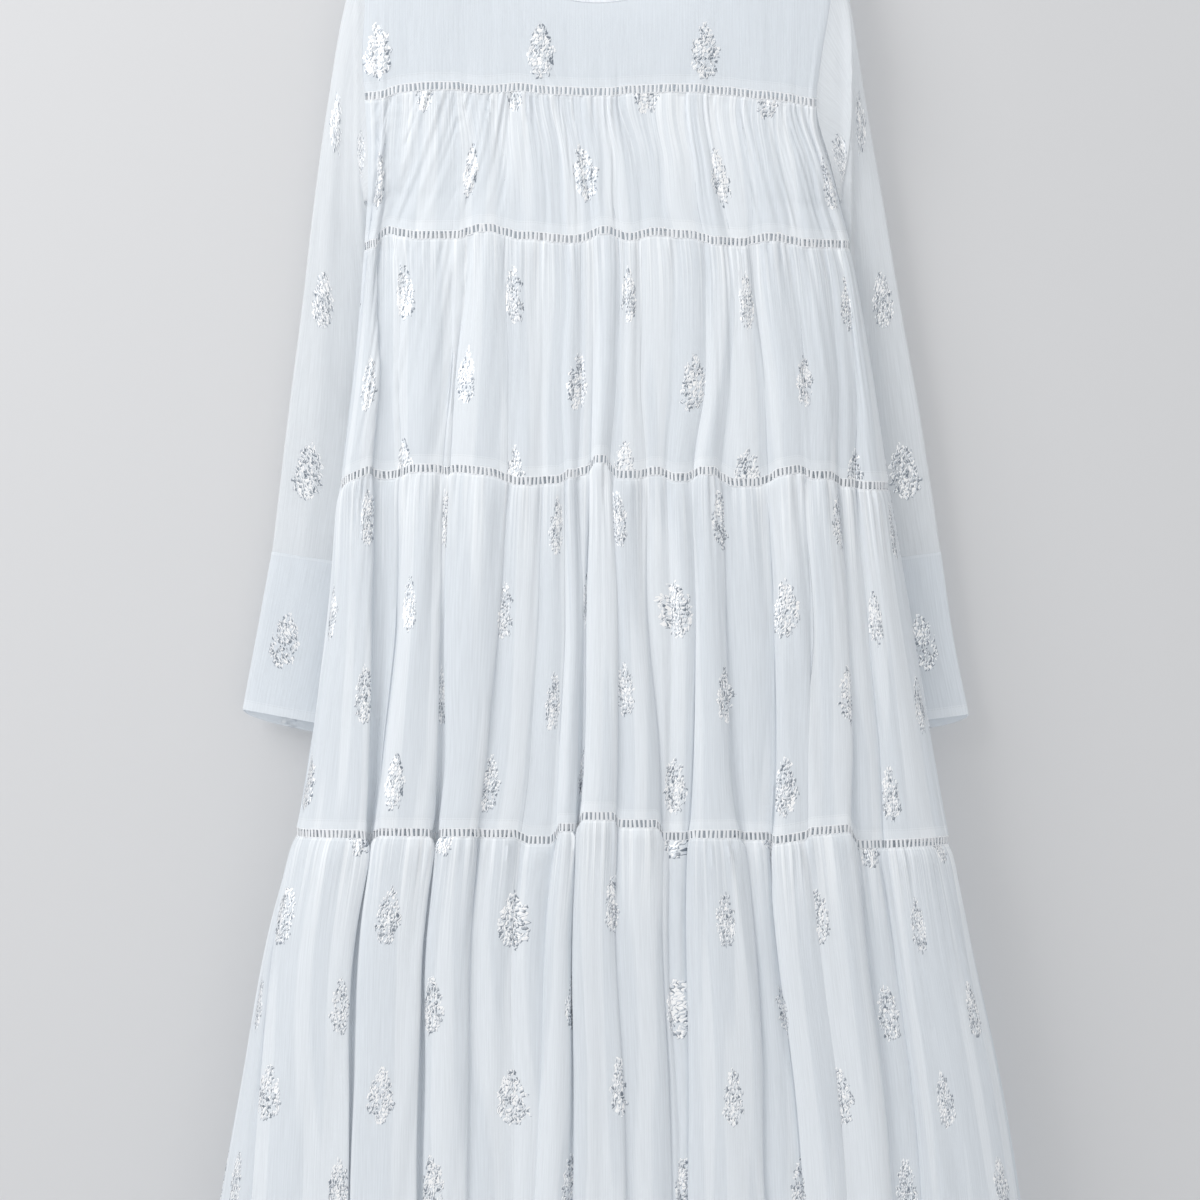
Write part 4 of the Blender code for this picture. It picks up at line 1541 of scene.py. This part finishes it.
@dataclass(frozen=True)
class Voile:
    """Sheer woven cloth with foil leaves printed on its face.

    opacity is how much the face hides, wrong_side how much the unprinted side hides, and shade how much
    of a lamp's light the face stops. doubled and folded are how much whiter the cloth is at its hems and
    where it lies double in the gathers. lined is how much whiter the crests of the finest gathers are
    painted, a painted highlight where their bumps stand highest, and gathered is how strong those gathers
    are. forward is the share of each fold's sideways slope that still shows, because light also comes
    through the cloth. hem and seam are how high the doubled cloth is at the foot and at the top, fade how
    far down the finest gathers fade to faded of their strength, stitch the length of the hem's stitches
    and thread the pitch of the weave, in millimetres. slubs, back_slubs, folds and ridges are how many
    uneven threads, places that lie double and finest gathers there are to a metre. pale and stitched are
    the colours of doubled cloth, which the painted highlight on the crests shares, and of the stitches,
    and dotted how much the stitches show. slub_hides and white_hides are how much more an uneven thread
    and the whitest cloth hide. weave_high and ridge_high are how high a thread and a gather stand against
    an uneven thread, whose height is relief, in metres.
    """

    name: str
    colour: Colour = (0.797, 0.842, 0.888)
    opacity: float = 0.72
    shade: float = 0.3
    wrong_side: float = 0.42
    doubled: float = 0.13
    folded: float = 0.22
    painted_crest_highlight: float = 0.3
    gathered: float = 1.0
    forward: float = 0.65
    hem: float = 8.0
    seam: float = 2.2
    fade: float = 90.0
    faded: float = 0.04
    stitch: float = 2.4
    thread: float = 0.4
    slubs: tuple[float, float, float] = (900, 30, 1)
    back_slubs: tuple[float, float, float] = (400, 30, 1)
    folds: tuple[float, float, float] = (34, 2.2, 1)
    ridges: tuple[float, float, float] = (330, 5, 1)
    pale: Colour = (0.90, 0.92, 0.935)
    stitched: Colour = (0.6, 0.63, 0.66)
    dotted: float = 0.3
    slub_hides: float = 0.12
    white_hides: float = 0.45
    weave_high: float = 0.35
    ridge_high: float = 8.0
    relief: float = 0.00007
    printed: bool = True

    def slub(self, graph: Graph, *scale: float) -> tuple[Wire, Wire]:
        """The cloth's uneven threads, at a scale: how thick they are, from 0 to 1, and their colour."""
        slub = graph.noise(graph.place("print", *scale), 1.0)
        return slub, graph.mix(slub, tone(self.colour, 0.97), tone(self.colour))

    @cache
    def face(self) -> Material:
        """Makes the material of the face, once.

        Returns:
            The material.
        """
        graph = Graph.new(self.name)
        slub, tint = self.slub(graph, *self.slubs)
        doubled, stitches = self.edges(graph)
        ridges, near = self.gathers(graph)
        # Painted highlight: the crests of the finest gathers, where their bumps stand highest, are painted
        # whiter. The hems and the places that lie double are whiter cloth.
        lines = graph.ramp(ridges, 0.5, 0.62) * near
        folded = graph.ramp(graph.noise(graph.place("print", *self.folds), 1.0), 0.5, 0.58)
        white = doubled * self.doubled + folded * self.folded + lines * self.painted_crest_highlight
        tint = graph.mix(white, tint, tone(self.pale))
        tint = graph.mix(stitches * self.dotted, tint, tone(self.stitched))
        alpha = (slub - 0.5) * self.slub_hides + white * self.white_hides + self.opacity
        height = self.weave(graph) * self.weave_high + slub + ridges * near * self.ridge_high
        own = graph.out(graph.add("NewGeometry"), "Normal")
        softened = graph.vector("NORMALIZE", graph.vector("MULTIPLY", own, (self.forward, 1.0, 1.0)))
        given = {"Specular IOR Level": 0.3, "Normal": graph.bump(height, self.relief, Normal=softened)}
        if self.printed:
            foil, light = LeafPrint().draw(graph)
            tint = graph.mix(foil, tint, self.silver(graph, light))
            alpha = graph.math("MAXIMUM", alpha, foil * 0.95)
            given["Metallic"] = foil * 0.65
            given["Roughness"] = graph.ramp(foil, 0.0, 1.0, 0.8, 0.4)
        else:
            given["Roughness"] = graph.ramp(slub, 0.3, 0.7, 0.7, 0.82)
        cloth = graph.surface({"Base Color": tint, **given})
        seen = graph.blend(graph.math("MINIMUM", alpha, 1.0), graph.clear(), cloth)
        veil = graph.blend(self.shade, graph.clear(), graph.out(graph.add("BsdfDiffuse")))
        shadow = graph.out(graph.add("LightPath"), "Is Shadow Ray")
        return graph.end(graph.blend(shadow, seen, veil))  # a lamp's light skips the print

    @cache
    def back(self) -> Material:
        """Makes the material of the wrong side, once.

        Returns:
            The material.
        """
        graph = Graph.new(f"{self.name}_wrong_side")
        tint = self.slub(graph, *self.back_slubs)[1]
        given = {"Specular IOR Level": 0.3, "Roughness": 0.8, "Alpha": self.wrong_side}
        return graph.end(graph.surface({"Base Color": tint, **given}))

    def silver(self, graph: Graph, light: Wire) -> Wire:
        """The foil's colour, from dark grey to white, with its painted highlight, shade and reflection.

        Args:
            graph: the material's graph.
            light: how light it is, with its painted highlight, shade and reflection, from 0 to 1.

        Returns:
            The colour.
        """
        node = graph.add("ValToRGB", {0: light})
        # The dark end paints the shade on the flakes' dark sides, and the bright end their painted
        # highlights.
        dark, bright = node.color_ramp.elements
        dark.position, dark.color = 0.08, (0.20, 0.23, 0.27, 1)
        bright.position, bright.color = 0.72, (1, 1, 1, 1)
        node.color_ramp.elements.new(0.42).color = (0.70, 0.74, 0.79, 1)
        return graph.out(node)

    def edges(self, graph: Graph) -> tuple[Wire, Wire]:
        """Where the cloth is doubled at its hems, and where the hem's stitches are.

        Args:
            graph: the material's graph.

        Returns:
            Both from 0 to 1.
        """
        from_top, above = graph.split(graph.place("edges", 1000, 1000, 1))
        foot = graph.ramp(above, self.hem - 0.3, self.hem + 0.3, 1.0, 0.0)
        top = graph.ramp(from_top, self.seam - 0.4, self.seam + 0.4, 1.0, 0.0)
        line = graph.ramp(abs(above - (self.hem - 1.0)), 0.2, 0.6, 1.0, 0.0)
        along = graph.split(graph.place("print", 1000, 1000, 1))[0]
        beat = graph.ramp(graph.math("FRACT", along / self.stitch), 0.15, 0.3)
        return graph.math("MAXIMUM", foot, top), line * beat

    def gathers(self, graph: Graph) -> tuple[Wire, Wire]:
        """The finest gathers, which run down from the seam above and fade.

        Args:
            graph: the material's graph.

        Returns:
            Their height, and how strong they are, both from 0 to 1.
        """
        from_top = graph.split(graph.place("edges", 1000, 1000, 1))[0]
        fade = graph.ramp(from_top, 0.0, self.fade, self.gathered, self.faded * self.gathered)
        return graph.noise(graph.place("print", *self.ridges), 1.0), fade

    def weave(self, graph: Graph) -> Wire:
        """The plain weave's fine threads, both ways.

        Args:
            graph: the material's graph.

        Returns:
            Their height from 0 to 1.
        """
        turns = 1000 * 2 * math.pi / self.thread
        x, y = graph.split(graph.place("print", turns, turns, 1))
        return graph.math("SINE", x) * graph.math("SINE", y) * 0.5 + 0.5


@dataclass(frozen=True)
class LadderThread:
    """The matte white thread of the ladder trims. fibres is how many there are to a metre, each way."""

    name: str = "ladder_thread"
    fibres: tuple[float, float, float] = (900, 900, 2600)
    light: Colour = (0.85, 0.87, 0.89)
    dark: Colour = (0.75, 0.77, 0.80)

    @cache
    def make(self) -> Material:
        """Makes the material, once.

        Returns:
            The material.
        """
        graph = Graph.new(self.name)
        twist = graph.noise(graph.place(None, *self.fibres), 2.0, flat=False)
        given = {
            "Base Color": graph.mix(twist, tone(self.dark), tone(self.light)),
            "Roughness": graph.ramp(twist, 0.2, 0.8, 0.55, 0.75),
            "Sheen Weight": 0.2,
            "Normal": graph.bump(twist, 0.0002),
        }
        return graph.end(graph.surface(given))


@dataclass(frozen=True)
class WaxedWood:
    """The hanger's pale wood. grain and pores are how many there are to a metre, few along the bar."""

    name: str = "waxed_wood"
    grain: tuple[float, float, float] = (6, 120, 90)
    pores: tuple[float, float, float] = (120, 2200, 2200)
    light: Colour = (0.62, 0.44, 0.27)
    dark: Colour = (0.42, 0.27, 0.15)
    open_pore: Colour = (0.22, 0.13, 0.07)

    def make(self) -> Material:
        """Makes the material: grain and pores under a thin coat of wax.

        Returns:
            The material.
        """
        graph = Graph.new(self.name)
        figure = graph.noise(graph.place(None, *self.grain), 4.0, flat=False)
        rings = graph.math("FRACT", figure * 7.0) ** 2.0
        pore = graph.ramp(graph.noise(graph.place(None, *self.pores), 2.0, flat=False), 0.62, 0.72)
        colour = graph.mix(rings, tone(self.light), tone(self.dark))
        given = {
            "Base Color": graph.mix(pore * 0.5, colour, tone(self.open_pore)),
            "Roughness": graph.ramp(rings, 0.0, 1.0, 0.36, 0.52),
            "Coat Weight": 0.25,
            "Coat Roughness": 0.2,
            "Normal": graph.bump(pore, -0.0001),
        }
        return graph.end(graph.surface(given))


@dataclass(frozen=True)
class BrightSteel:
    """The hook's drawn steel wire. scuffs is how many there are to a metre, each way."""

    name: str = "bright_steel"
    scuffs: tuple[float, float, float] = (300, 300, 300)
    light: Colour = (0.74, 0.75, 0.77)
    dark: Colour = (0.58, 0.59, 0.61)

    def make(self) -> Material:
        """Makes the material.

        Returns:
            The material.
        """
        graph = Graph.new(self.name)
        scuffs = graph.noise(graph.place(None, *self.scuffs), 4.0, flat=False)
        given = {
            "Base Color": graph.mix(scuffs, tone(self.dark), tone(self.light)),
            "Roughness": graph.ramp(scuffs, 0.3, 0.7, 0.2, 0.36),
            "Metallic": 1.0,
            "Normal": graph.bump(scuffs, 0.00005),
        }
        return graph.end(graph.surface(given))


def dress(piece: Piece, *materials: Material) -> None:
    """Gives a piece its materials, and reports it.

    Args:
        piece: the piece.
        materials: one for all of it, or the cloth's face and its wrong side.
    """
    while len(piece.data.materials) < len(materials):
        piece.data.materials.append(None)
    for slot, material in enumerate(materials):
        piece.data.materials[slot] = material
    log.info("%s: %d faces", piece.name, len(piece.data.polygons))


@dataclass
class Garment:
    """The dress: its two faces, sleeves and neck binding, all hung and dressed."""

    voile: Voile = Voile("printed_voile")
    flat_voile: Voile = Voile("flat_voile", opacity=0.64, folded=0.0, gathered=0.1)
    # The sleeves' voile is painted paler and more neutral than the dress's: the same cloth, made lighter as
    # painted light, to make up for the shade that shows through its sheerer layers.
    sleeve_voile: Voile = Voile(
        "sleeve_voile", colour=(0.83, 0.862, 0.893), opacity=0.6, folded=0.0, gathered=0.1
    )
    cuff_voile: Voile = Voile("cuff_voile", opacity=0.72, folded=0.0, gathered=0.0)
    binding_voile: Voile = Voile("binding_voile", opacity=0.92, printed=False)
    thread: LadderThread = LadderThread()

    def sew(self, piece: Piece, voile: Voile) -> Piece:
        """Gives a piece of cloth its face and its wrong side.

        Args:
            piece: the finished piece.
            voile: the cloth that it is cut from.

        Returns:
            The piece.
        """
        dress(piece, voile.face(), voile.back())
        return piece

    def trim(self, piece: Piece) -> Piece:
        """Gives a trim its thread.

        Args:
            piece: the finished trim.

        Returns:
            The trim.
        """
        dress(piece, self.thread.make())
        return piece

    def build_face(self, facing: Facing) -> tuple[Yoke, Piece]:
        """Builds the yoke, the tiers and the trims of one face.

        Args:
            facing: which face.

        Returns:
            The yoke and its piece, which the binding follows.
        """
        face = Face(facing)
        yoke = Yoke(face)
        above = top = self.sew(yoke.build(), self.flat_voile)
        for number in range(len(TIERS)):
            trim = self.trim(LadderTrim(face, number).build())
            tier = Tier(face, number)
            piece = self.sew(tier.build(), self.voile)
            above = piece
        return yoke, top

    def build_sleeve(self, side: Side) -> None:
        """Builds a sleeve and its cuff.

        Args:
            side: which sleeve.
        """
        sleeve = Sleeve(side)
        tube, cuff = sleeve.build()
        self.sew(tube, self.sleeve_voile)
        self.sew(cuff, self.cuff_voile)

    def build(self) -> None:
        """Builds the whole dress."""
        front, front_piece = self.build_face(Facing.FRONT)
        back, back_piece = self.build_face(Facing.BACK)
        binding = self.sew(NeckBinding(front, back).build(), self.binding_voile)
        for side in Side:
            self.build_sleeve(side)


class Lamp(NamedTuple):
    """A soft square lamp that faces the dress: its place, its power in watts and its side."""

    name: str
    place: tuple[float, float, float]
    power: float
    size: float


@dataclass
class Studio:
    """The pale wall and floor, the soft light and the camera. Sizes are in metres."""

    wall_y: float = 0.032
    floor_z: float = -1.45
    reach: float = 7.0
    paint: Colour = (0.65, 0.655, 0.667)
    eye: tuple[float, float, float] = (0.0, -3.02, -0.6238)
    view_y: float = -0.02
    view_width: float = 0.936
    sensor: float = 36.0
    ambient: float = 0.8
    lamps: tuple[Lamp, ...] = (
        Lamp("key", (-1.75, -1.45, 0.9), 36.0, 1.7),
        Lamp("fill", (0.7, -2.3, -1.5), 6.0, 1.4),
        Lamp("back", (1.0, 1.9, 0.1), 8.0, 1.6),
    )

    def painted(self, one_sided: bool) -> Material:
        """The pale paint of the wall and the floor.

        Args:
            one_sided: whether it is seen from its front only.

        Returns:
            The material.
        """
        graph = Graph.new("wall_paint" if one_sided else "floor_paint")
        mottle = graph.noise(graph.place(None, 2, 2, 2), 3.0, flat=False)
        tint = graph.mix(mottle, tone(self.paint, 0.985), tone(self.paint))
        paint = graph.surface({"Base Color": tint, "Roughness": 0.9, "Specular IOR Level": 0.2})
        if one_sided:
            behind = graph.out(graph.add("NewGeometry"), "Backfacing")
            paint = graph.blend(behind, paint, graph.clear())
        return graph.end(paint)

    def board(self, name: str, place: Sequence[float], turn: float) -> Piece:
        """A large flat board.

        Args:
            name: its name.
            place: its middle.
            turn: how far it is tipped up, in degrees.

        Returns:
            The board.
        """
        bpy.ops.mesh.primitive_plane_add(
            size=self.reach, location=place, rotation=(math.radians(turn), 0, 0)
        )
        board = bpy.context.object
        board.name = name
        bpy.ops.object.transform_apply(location=True, rotation=True, scale=True)
        return board

    def put(self, name: str, data: bpy.types.ID, place: Sequence[float]) -> bpy.types.Object:
        """Puts a lamp or a camera in the scene.

        Args:
            name: its name.
            data: the lamp or the camera.
            place: where it stands.

        Returns:
            The object that holds it.
        """
        thing = bpy.data.objects.new(name, data)
        thing.location = place
        bpy.context.scene.collection.objects.link(thing)
        return thing

    def light(self, lamp: Lamp) -> None:
        """Sets up a lamp.

        Args:
            lamp: which one.
        """
        light = bpy.data.lights.new(lamp.name, "AREA")
        light.energy = lamp.power
        light.size = lamp.size
        towards = Vector((0, 0, self.eye[2])) - Vector(lamp.place)
        self.put(lamp.name, light, lamp.place).rotation_euler = towards.to_track_quat("-Z", "Y").to_euler()

    def build(self) -> None:
        """Sets the studio up round the dress."""
        wall = self.board("wall", (0, self.wall_y, self.eye[2]), turn=90)
        dress(wall, self.painted(one_sided=True))
        wall.visible_diffuse = False
        wall.visible_shadow = False
        dress(self.board("floor", (0, 0, self.floor_z), turn=0), self.painted(one_sided=False))
        for lamp in self.lamps:
            self.light(lamp)
        scene = bpy.context.scene
        scene.world = bpy.data.worlds.new("room")
        scene.world.use_nodes = True
        room = scene.world.node_tree.nodes["Background"]
        room.inputs["Color"].default_value = (1, 1, 1, 1)
        room.inputs["Strength"].default_value = self.ambient
        scene.view_settings.view_transform = "Standard"
        camera = bpy.data.cameras.new("view")
        camera.sensor_width = self.sensor
        camera.lens = self.sensor * (self.view_y - self.eye[1]) / self.view_width
        scene.camera = self.put("view", camera, self.eye)
        scene.camera.rotation_euler = (math.radians(90), 0, 0)


def main() -> None:
    """Builds the dress, dresses the hanger and sets up the studio."""
    logging.basicConfig(level=logging.INFO, format="%(name)s: %(message)s")
    Garment().build()
    dress(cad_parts["hanger_bar"], WaxedWood().make())
    dress(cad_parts["hanger_hook"], BrightSteel().make())
    Studio().build()


if __name__ == "__main__":
    main()
